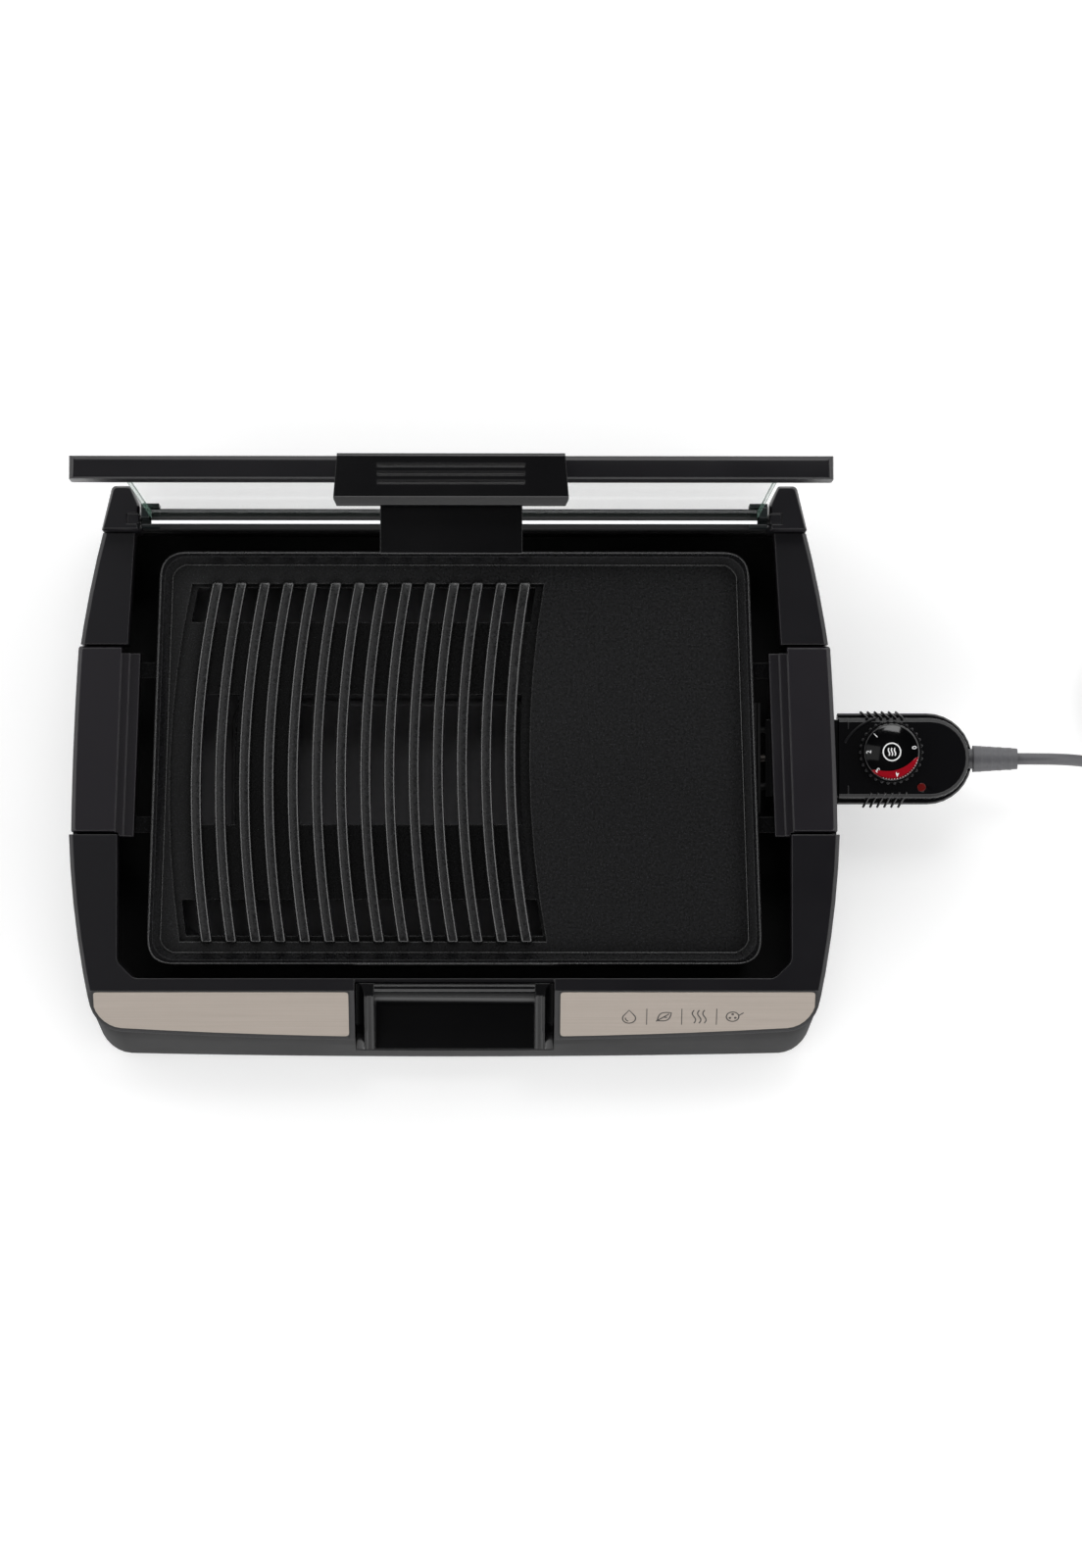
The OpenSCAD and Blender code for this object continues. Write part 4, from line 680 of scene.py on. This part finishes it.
def rounded_corners(points, radius, sharp=50, steps=6):
    """Rounds each corner that turns by more than an angle; the other points stay."""
    result = []
    for before, corner, after in corner_views(points):
        into, out = (corner - before).normalized(), (after - corner).normalized()
        turn = abs(into.angle_signed(out))
        if math.degrees(turn) < sharp:
            result.append(tuple(corner))
            continue
        room = min((corner - before).length, (after - corner).length)
        cut = min(radius * math.tan(turn / 2), 0.45 * room)
        start, stop = corner - into * cut, corner + out * cut
        for k in range(steps + 1):
            t = k / steps
            result.append(tuple((1 - t) ** 2 * start + 2 * t * (1 - t) * corner + t * t * stop))
    return result


def grown(points, by):
    """An outline moved outwards by a distance."""
    result = []
    for before, corner, after in corner_views(points):
        way = ((corner - before).normalized() + (after - corner).normalized()).normalized()
        result.append(tuple(corner + Vector((way.y, -way.x)) * by))
    return result


# %% Build the trims and the painted shadow strip under them
for side in ("left", "right"):
    outline = rounded_corners(fascia_outline(f"trim_plate_{side}"), TRIM_CORNER_R)
    bm = bmesh.new()
    skin(bm, [[on_fascia(x, d, out) for x, d in outline] for out in (TRIM_PROUD - TRIM_T, TRIM_PROUD)])
    trim = keep(f"trim_{side}", bm, TRIM_STEEL, "base", 0.15)
    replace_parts(trim, f"trim_plate_{side}")
    # painted shadow: a black rubber strip a little wider than the trim stands for the shadow gap round it
    bm = bmesh.new()
    shadow_outline = grown(outline, SHADOW_BORDER)
    skin(bm, [[on_fascia(x, d, out) for x, d in shadow_outline] for out in SHADOW_LAYER])
    keep(f"trim_shadow_strip_{side}", bm, RUBBER, "base")

# %% [markdown]
# # The plate's rim
# The casting ends in a fine bead along its outer edge, and a second bead runs where the rim meets the
# griddle. Both carry the coating's copy with a painted highlight, so each draws a fine line round the
# plate.

# %% Build the beads of the rim
PLATE_FRONT_Y = -115.6
PLATE_REAR_Y = 131.2
PLATE_CORNER_R = 16
PLATE_RIM_Z = 68
BEAD = [(-0.6, -0.25), (-0.5, 0.2), (-0.2, 0.42), (0.2, 0.42), (0.5, 0.2), (0.6, -0.25)]


def plate_outline(inset):
    """The plate's outline moved inwards, as [x, y] in mm."""
    corners = [(-PLATE_HALF_FRONT, PLATE_FRONT_Y), (PLATE_HALF_FRONT, PLATE_FRONT_Y),
               (PLATE_HALF_REAR, PLATE_REAR_Y), (-PLATE_HALF_REAR, PLATE_REAR_Y)]
    return grown(rounded_corners(corners, PLATE_CORNER_R, steps=16), -inset)


for name, inset, z in (("rim_bead_outer", 0.9, PLATE_RIM_Z - 0.15), ("rim_bead_inner", 7.4, GRIDDLE_Z)):
    runs = [[at(*p, z + rise) for p in plate_outline(inset + across)] for across, rise in BEAD]
    bm = bmesh.new()
    skin(bm, list(zip(*runs)), closed=True)
    keep(name, bm, NONSTICK_HIGHLIGHT, "plate")

# %% [markdown]
# # Marks on the right trim plate
# Four small etched marks stand for ways to cook: a drop, a leaf, rising air and a pan with three dots,
# with a thin line between each two. Each is a few strokes, and a stroke is one ribbon on the plate.

# %% Etch the marks
MARK_XS = (104, 125, 145.8, 166.5)
MARK_DOWN = 20.5
MARK_R = 5.2
STROKE, SPLIT_W, SPLIT_HALF = 0.75, 0.55, 6.4
INK_T, INK_LIFT = 0.03, 0.01


def on_trim(x, down, out):
    """A place on a trim plate's face, as on the fascia."""
    return on_fascia(x, down, TRIM_PROUD + INK_LIFT + out)


# strokes in units of the mark's radius, [across, down the slope]
bowl = arc_points((0, 0.25), 0.75, -30, 210, 18)
drop = [bowl + [(0, -1)] + bowl[:1], arc_points((0, 0.25), 0.42, 100, 190, 6)]
upper = [(k / 5 - 1, -0.62 * math.sin(math.pi * k / 10)) for k in range(11)]
lower = [(x, -y) for x, y in reversed(upper)]
leaf = [[(0.8 * x + 0.6 * y, 0.8 * y - 0.6 * x) for x, y in upper + lower[1:]],
        [(-0.95, 0.72), (0.55, -0.42)], [(-0.1, 0.07), (0.32, 0.12)]]
rising_air = [[(x + 0.2 * math.sin(math.pi * k / 6), 1 - k / 6) for k in range(13)] for x in (-0.6, 0, 0.6)]
pan = [arc_points((-0.15, 0), 0.72, 0, 360, 24), [(0.57, -0.2), (1.1, -0.6)]]
pan += [arc_points((-0.15 + 0.36 * math.cos(a), 0.36 * math.sin(a)), 0.09, 0, 360, 6)
        for a in (0.5, 2.6, 4.7)]
bm = bmesh.new()
for middle, mark in zip(MARK_XS, (drop, leaf, rising_air, pan)):
    for stroke in mark:
        spots = [(middle + MARK_R * x, MARK_DOWN + MARK_R * y) for x, y in stroke]
        ribbon(bm, spots, STROKE, INK_T, on_trim)
for left, right in zip(MARK_XS, MARK_XS[1:]):
    split = [((left + right) / 2, MARK_DOWN + d) for d in (-SPLIT_HALF, SPLIT_HALF)]
    ribbon(bm, split, SPLIT_W, INK_T, on_trim)
keep("etched_marks", bm, ETCH_INK, "base")

# %% [markdown]
# # The rail, the seal and the hinge blocks
# The pane's lower edge stands in a rubber seal, faced along its front by a thin aluminium rail. The frame
# draws both as plain channels; here one sees a bright line from above, then dark rubber and then glass.
# The lid is drawn by its side profile: up from the hinge line, and back from it.

# %% Build the rail, the seal and the hinge blocks
HINGE_Y = 149
HINGE_Z = 77.5


def lid_profile(bm, profile, from_x, to_x):
    """Pushes a closed profile of [up, back] points, in mm from the hinge line, along X."""
    skin(bm, [[at(x, HINGE_Y + back, HINGE_Z + up) for up, back in profile] for x in (from_x, to_x)])


def block(up, back):
    """The four corners of a plain profile."""
    return [(up[0], back[0]), (up[1], back[0]), (up[1], back[1]), (up[0], back[1])]


RAIL_HALF = 179.4
RAIL = [(13.2, -3.6), (16.9, -3.6), (18.1, -1.6), (17.3, -1.6), (13.2, -1.9)]
SEAL = [(6, -3.4), (13.2, -3.4), (13.2, -1.8), (17.2, -1.8), (17.2, 0.55), (7.6, 0.55), (7.6, 4.8),
        (11, 4.8), (11, 5.8), (6, 5.8)]
bm = bmesh.new()
lid_profile(bm, RAIL, -RAIL_HALF, RAIL_HALF)
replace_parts(keep("clamp_rail", bm, RAIL_ALUMINIUM, "lid", 0.15), "hinge_rail")
bm = bmesh.new()
lid_profile(bm, SEAL, -RAIL_HALF, RAIL_HALF)
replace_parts(keep("pane_seal", bm, RUBBER, "lid", 0.3), "glass_gasket")
# the barrel round the pin, the wall behind the glass, the wall beside it and the lip under it
KNUCKLE = [
    ([(-6, -3.5), (-3.5, -5), (3, -5), (5.8, -3), (5.8, 8.2), (-1, 8.2), (-6, 4)], 175.2, 186.2),
    (block((5.7, 21.5), (5.9, 8.2)), 174.6, 185.4),
    (block((5.7, 21.5), (-0.3, 6.0)), 180.6, 185.4),
    (block((7.7, 8.8), (0.7, 4.6)), 174.6, 180.7),
]
for side, sign in (("left", -1), ("right", 1)):
    bm = bmesh.new()
    for profile, inner_x, outer_x in KNUCKLE:
        lid_profile(bm, profile, sign * inner_x, sign * outer_x)
    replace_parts(keep(f"knuckle_{side}", bm, HINGE_ABS, "lid", 0.5), f"hinge_block_{side}")

# %% [markdown]
# # The pins' caps
# Each hinge pin carries a cap that fills its tower's open slot, so that no crumb falls in. The cap lifts
# out with the lid.

# %% Build the pins' caps
CAP_X = (187.2, 194.2)
CAP_HALF = 3.05
CAP_Z = (80.2, 89.8)
for side, sign in (("left", -1), ("right", 1)):
    bm = bmesh.new()
    plan = [(CAP_X[0], -CAP_HALF), (CAP_X[1], -CAP_HALF), (CAP_X[1], CAP_HALF), (CAP_X[0], CAP_HALF)]
    skin(bm, [[at(sign * x, HINGE_Y + y, z) for x, y in plan] for z in CAP_Z])
    keep(f"pin_cap_{side}", bm, SATIN_ABS, "hinge_pins", 0.3)

# %% [markdown]
# # The dial
# The dial's cap is a glossy dome of black acrylic, printed white and red from behind. The prints are thin
# shapes laid on the dome: every point is lifted to the dome's height at its distance from the middle.

# %% Build the dial's cap and its prints
DIAL = (260.8, 11.6)
DOME_TOP, DOME_FALL, SHOULDER_FALL, DOME_FOOT_Z = 67.0, 2.0, 2.2, 61.4
SHOULDER_R, DOME_R = 15.4, 17.2


def dome_height(r):
    """Height of the dome in mm at a distance from its middle."""
    if r <= SHOULDER_R:
        return DOME_TOP - DOME_FALL * (r / SHOULDER_R) ** 2
    t = min((r - SHOULDER_R) / (DOME_R - SHOULDER_R), 1)
    return DOME_TOP - DOME_FALL - SHOULDER_FALL * (1 - math.sqrt(1 - t * t))


def on_dial(x, y, out):
    """A place above the dome, from its middle."""
    return at(DIAL[0] + x, DIAL[1] + y, dome_height(math.hypot(x, y)) + 0.02 + out)


POLE_R, FOOT_CHAMFER, DIAL_STEPS = 0.05, 0.4, 96
shoulder = [SHOULDER_R + (DOME_R - SHOULDER_R) * math.sin(math.radians(a)) for a in range(15, 91, 15)]
radii = [POLE_R] + [SHOULDER_R * k / 12 for k in range(1, 13)] + shoulder
foot = [(POLE_R, DOME_FOOT_Z), (DOME_R - FOOT_CHAMFER, DOME_FOOT_Z), (DOME_R, DOME_FOOT_Z + FOOT_CHAMFER)]
profile = foot + [(r, dome_height(r)) for r in reversed(radii)]
bm = bmesh.new()
skin(bm, [[at(x, y, z) for x, y in arc_points(DIAL, r, 0, 360, DIAL_STEPS)[:-1]] for r, z in profile])
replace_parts(keep("dial_dome", bm, DIAL_GLOSS, "dial"), "dial_cap")

# %% Print the red crescent that warns of the hottest settings
RED_FROM, RED_TO, RED_STEPS, RED_R, RED_W = 222, 350, 40, 16.3, 5.2
RED_OVER, RED_UNDER, RED_TIP = 0.03, -0.05, 0.05
bm = bmesh.new()
rows = []
for k in range(RED_STEPS + 1):
    turn = math.radians(RED_FROM + (RED_TO - RED_FROM) * k / RED_STEPS)
    width = max(RED_W * math.sin(math.pi * k / RED_STEPS) ** 0.5, RED_TIP)
    spots = [(r * math.cos(turn), r * math.sin(turn)) for r in (RED_R - width * j / 4 for j in range(5))]
    rows.append([on_dial(*s, RED_OVER) for s in spots] + [on_dial(*s, RED_UNDER) for s in reversed(spots)])
skin(bm, rows)
keep("dial_red_band", bm, DIAL_RED, "dial")

# %% Print white strokes: fine ticks beside the crescent, and rising heat in a ring in the middle
WHITE_LIFT = 0.05
TICKS, TICK_R, TICK_W = range(252, 344, 6), (15.9, 16.5), 0.22
RING_R, RING_W = 5.2, 0.8
WAVE_XS, WAVE_SWAY, WAVE_HALF, WAVE_W = (-1.8, 0, 1.8), 0.4, 2.3, 0.75


def on_print(x, y, out):
    """A place on the white print."""
    return on_dial(x, y, WHITE_LIFT + out)


bm = bmesh.new()
for turn in map(math.radians, TICKS):
    ribbon(bm, [(r * math.cos(turn), r * math.sin(turn)) for r in TICK_R], TICK_W, INK_T, on_print)
ribbon(bm, arc_points((0, 0), RING_R, 0, 360, 40)[:-1], RING_W, INK_T, on_print, closed=True)
for x in WAVE_XS:
    wave = [(x + WAVE_SWAY * math.sin(2 * math.pi * k / 8), WAVE_HALF * (k / 4 - 1)) for k in range(9)]
    ribbon(bm, wave, WAVE_W, INK_T, on_print)
keep("dial_white_marks", bm, WHITE_INK, "dial")

# %% Print the numerals
def numeral(bm, text, degrees, radius=13.6, size=4.0):
    """A digit laid on the dome with its top outwards."""
    data = bpy.data.curves.new("numeral_" + text, "FONT")
    data.body = text
    data.size = size
    data.align_x = "CENTER"
    data.align_y = "CENTER"
    data.offset = 0.06
    data.extrude = INK_T
    data.resolution_u = 4
    letter = new_object("numeral_" + text, data)
    mesh = bpy.data.meshes.new_from_object(letter.evaluated_get(bpy.context.evaluated_depsgraph_get()))
    turn = math.radians(degrees)
    lean = turn - math.pi / 2
    for vertex in mesh.vertices:
        x, y, out = vertex.co
        px = radius * math.cos(turn) + x * math.cos(lean) - y * math.sin(lean)
        py = radius * math.sin(turn) + x * math.sin(lean) + y * math.cos(lean)
        vertex.co = on_print(px, py, 0.01 + out)
    bm.from_mesh(mesh)
    bpy.data.objects.remove(letter)


bm = bmesh.new()
for text, degrees in (("0", 11), ("1", 134), ("2", 180), ("3", 232), ("4", 284)):
    numeral(bm, text, degrees)
bmesh.ops.remove_doubles(bm, verts=bm.verts, dist=0.001 * MM)
keep("dial_numerals", bm, WHITE_INK, "dial")

# %% [markdown]
# # The dial's knurl
# Small ribs round the skirt give the fingers a hold on the dial. A tree stands one rib on every point of
# a circle.

# %% Grow the knurl
KNURL = {"Count": 30, "Circle": 18.5 * MM, "Radius": 0.85 * MM, "Length": 4.6 * MM}


def knurl_tree(middle):
    tree, size, out = geometry_tree("dial_knurl", KNURL)
    circle = add(tree, "GeometryNodeMeshCircle", Vertices=size["Count"], Radius=size["Circle"])
    rib = add(tree, "GeometryNodeMeshCylinder", Vertices=10, Radius=size["Radius"], Depth=size["Length"])
    copies = add(tree, "GeometryNodeInstanceOnPoints", Points=circle, Instance=rib)
    return end_tree(tree, out, copies, middle, SATIN_ABS)


knurl = grow("dial_knurl", knurl_tree(at(*DIAL, 60.3)), KNURL, edge_mm=0.25)
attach(knurl, "dial")

# %% [markdown]
# # Grip ridges and beads on the probe
# Six slanted ridges on each flank give the fingers a hold when the probe is pulled. A tree copies one bar
# along a line; its slant is an input. A curved bead and two short bars beside the dial are moulded on.

# %% Grow the grip ridges, build the beads
RIDGES = {"Count": 6, "Spacing": 4.2 * MM, "Radius": 0.8 * MM, "Lean": math.radians(20)}
FLANKS = [("rear", (245.2, 34.3, 51.0), 22, 11.5), ("front", (247, -16.4, 50.8), -34, 15)]


def ridge_tree(first):
    tree, size, out = geometry_tree("grip_ridges", dict(RIDGES, Tilt=0.0, Length=0.0))
    step = add(tree, "ShaderNodeCombineXYZ", X=size["Spacing"])
    line = add(tree, "GeometryNodeMeshLine", Count=size["Count"], Offset=step)
    bar = add(tree, "GeometryNodeMeshCylinder", Vertices=10, Radius=size["Radius"], Depth=size["Length"])
    slant = add(tree, "ShaderNodeCombineXYZ", X=size["Tilt"], Y=size["Lean"])
    copies = add(tree, "GeometryNodeInstanceOnPoints", Points=line, Instance=bar, Rotation=slant)
    return end_tree(tree, out, copies, first, PROBE_ABS)


for side, first, tilt, length in FLANKS:
    sizes = dict(RIDGES, Tilt=math.radians(tilt), Length=length * MM)
    ridges = grow(f"grip_ridges_{side}", ridge_tree(at(*first)), sizes, edge_mm=0.35)
    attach(ridges, "probe")

PROBE_TOP_Z, BEAD_SUNK = 56, 0.3
BAR_X, BAR_YS, BAR_HALF = 235.2, (28, -10.5), 2.4


def on_probe(x, y, out):
    """A place on the probe's top, for a bead that is rooted in it."""
    return at(x, y, PROBE_TOP_Z - BEAD_SUNK + out)


bm = bmesh.new()
ribbon(bm, arc_points((DIAL[0] + 0.7, DIAL[1] - 11), 33, 106, 149, 20), 1.5, 1.0, on_probe)
for y in BAR_YS:
    ribbon(bm, [(BAR_X, y - BAR_HALF), (BAR_X, y + BAR_HALF)], 1.1, 0.8, on_probe)
keep("probe_beads", bm, SATIN_ABS, "probe", 0.35)

# %% [markdown]
# # The lead rides on the probe
# The lead stands for three plain solids of the frame, and its plug stays the frame's own part. Two rubber
# ties hold the coil; each is a strap round the coil's section.

# %% Hang the lead on the probe
mains_lead.data.materials.append(LEAD_PVC)
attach(mains_lead, "probe")
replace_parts(mains_lead, "cord_lead", "cord_coil", "cord_tail")

TIE_W, TIE_T = 7, 0.5
TIE_HALF, TIE_LOW, TIE_HIGH, TIE_CUT = 11.9, 0.05, 15.3, 4
TIES_AT = (135, 315)
half, cut = TIE_HALF, TIE_HALF - TIE_CUT
low, up, down, high = TIE_LOW, TIE_LOW + TIE_CUT, TIE_HIGH - TIE_CUT, TIE_HIGH
# a box with its corners cut off, round the coil's section
section = [(cut, low), (half, up), (half, down), (cut, high),
           (-cut, high), (-half, down), (-half, up), (-cut, low)]
bm = bmesh.new()
for turn in map(math.radians, TIES_AT):
    out, along = Vector((math.cos(turn), math.sin(turn))), Vector((-math.sin(turn), math.cos(turn)))
    rings = []
    for u, z in section:
        du, dz = math.copysign(TIE_T, u), math.copysign(TIE_T, (low + high) / 2 - z)
        ring = []
        for inner, step in ((0, -1), (0, 1), (1, 1), (1, -1)):
            spot = Vector(COIL_MIDDLE) + out * (TURN_RADII[1] + u - inner * du) + along * (step * TIE_W / 2)
            ring.append(at(spot.x, spot.y, z + inner * dz))
        rings.append(ring)
    skin(bm, rings, closed=True)
lead_tie = keep("lead_tie", bm, RUBBER, "probe")

# %% [markdown]
# # Floor and light
# A white sweep, a white tent and two soft boxes. The tent glows at middle height and is dark overhead, so
# flat black tops stay dark while every slope and rounded edge catches a line of light. The floor keeps
# the grill's own soft shadow and adds a little white of its own for the camera, glass and gloss. Those
# rays see a white backdrop in the world too; off a gloss only near the horizon, with the tent above it.

# %% Say which rays see the white backdrop
def sees_backdrop(tree, ray, mirror=None):
    """1 for rays that should see the white backdrop: the camera's, through glass, and off a gloss."""
    clear = add(tree, "ShaderNodeMath", {"operation": "MAXIMUM"}, i0=ray.outputs["Is Camera Ray"],
                i1=ray.outputs["Is Transmission Ray"])
    return add(tree, "ShaderNodeMath", {"operation": "MAXIMUM"}, i0=clear,
               i1=mirror or ray.outputs["Is Glossy Ray"])


# %% Lay the white sweep
FLOOR_SIZE = 12.0
FLOOR_GLOW = 0.36
material, tree, shader, _ = new_material("white_sweep")
feed(shader, Base_Color=linear("#e9e9e9"), Roughness=0.9, Specular_IOR_Level=0.0)
seen = sees_backdrop(tree, add(tree, "ShaderNodeLightPath"))
glow = add(tree, "ShaderNodeMath", {"operation": "MULTIPLY"}, i0=seen, i1=FLOOR_GLOW)
lit = add(tree, "ShaderNodeEmission", Color=(1, 1, 1, 1), Strength=glow)
both = add(tree, "ShaderNodeAddShader", i0=shader, i1=lit)
out = next(n for n in tree.nodes if n.bl_idname == "ShaderNodeOutputMaterial")
feed(out, Surface=both)
mesh = bpy.data.meshes.new("floor")
half = FLOOR_SIZE / 2
corners = [(-half, -half, 0), (half, -half, 0), (half, half, 0), (-half, half, 0)]
mesh.from_pydata(corners, [], [(0, 1, 2, 3)])
mesh.materials.append(material)
floor = new_object("floor", mesh)

# %% Put up the tent
# its brightness by the sine of the height: white at middle height, with a dark opening overhead
TENT = [(0.0, 0.45), (0.12, 0.52), (0.26, 2.3), (0.56, 2.3), (0.74, 0.12), (1.0, 0.05)]
BACKDROP_FULL, BACKDROP_TOP = 0.02, 0.1
world = bpy.data.worlds.new("studio")
world.use_nodes = True
tree = world.node_tree
tree.nodes.clear()
direction = add(tree, "ShaderNodeTexCoord").outputs["Generated"]
height = add(tree, "ShaderNodeSeparateXYZ", Vector=direction).outputs["Z"]
level = add(tree, "ShaderNodeFloatCurve", Value=height)
curve = level.mapping.curves[0]
top = max(value for _, value in TENT)
for point, (place, value) in zip(list(curve.points), (TENT[0], TENT[-1])):
    point.location = (place, value / top)
for place, value in TENT[1:-1]:
    curve.points.new(place, value / top)
level.mapping.update()
bright = add(tree, "ShaderNodeMath", {"operation": "MULTIPLY"}, i0=level, i1=top)
ray = add(tree, "ShaderNodeLightPath")
# off a gloss the backdrop shows near the horizon, and the tent above it
low = add(tree, "ShaderNodeMapRange", Value=height, From_Min=BACKDROP_FULL, From_Max=BACKDROP_TOP,
          To_Min=1.0, To_Max=0.0)
mirror = add(tree, "ShaderNodeMath", {"operation": "MULTIPLY"}, i0=ray.outputs["Is Glossy Ray"], i1=low)
seen = sees_backdrop(tree, ray, mirror)
strength = add(tree, "ShaderNodeMix", {"data_type": "FLOAT"}, i0=seen, i2=bright, i3=1.0)
sky = add(tree, "ShaderNodeBackground", Color=(1, 1, 1, 1), Strength=strength)
add(tree, "ShaderNodeOutputWorld", Surface=sky)
bpy.context.scene.world = world

# %% Set the soft boxes
def soft_lamp(name, direction, distance, size, level):
    """A soft box seen from the grill at an angle round from +X and up, as bright as level times white."""
    turn, up = (math.radians(v) for v in direction)
    toward = Vector((math.cos(up) * math.cos(turn), math.cos(up) * math.sin(turn), math.sin(up)))
    data = bpy.data.lights.new(name, "AREA")
    data.shape = "RECTANGLE"
    data.size, data.size_y = size
    data.energy = level * math.pi * size[0] * size[1]
    lamp = new_object(name, data)
    print(name, "at", tuple(round(v, 2) for v in toward * distance))
    lamp.location = toward * distance
    lamp.rotation_euler = (-toward).to_track_quat("-Z", "Y").to_euler()


soft_lamp("rear_box", (80, 55), 3.0, (1.2, 0.8), 4.6)
soft_lamp("left_box", (172, 76), 3.2, (0.9, 0.8), 0.45)

bpy.context.scene.view_settings.view_transform = "Standard"
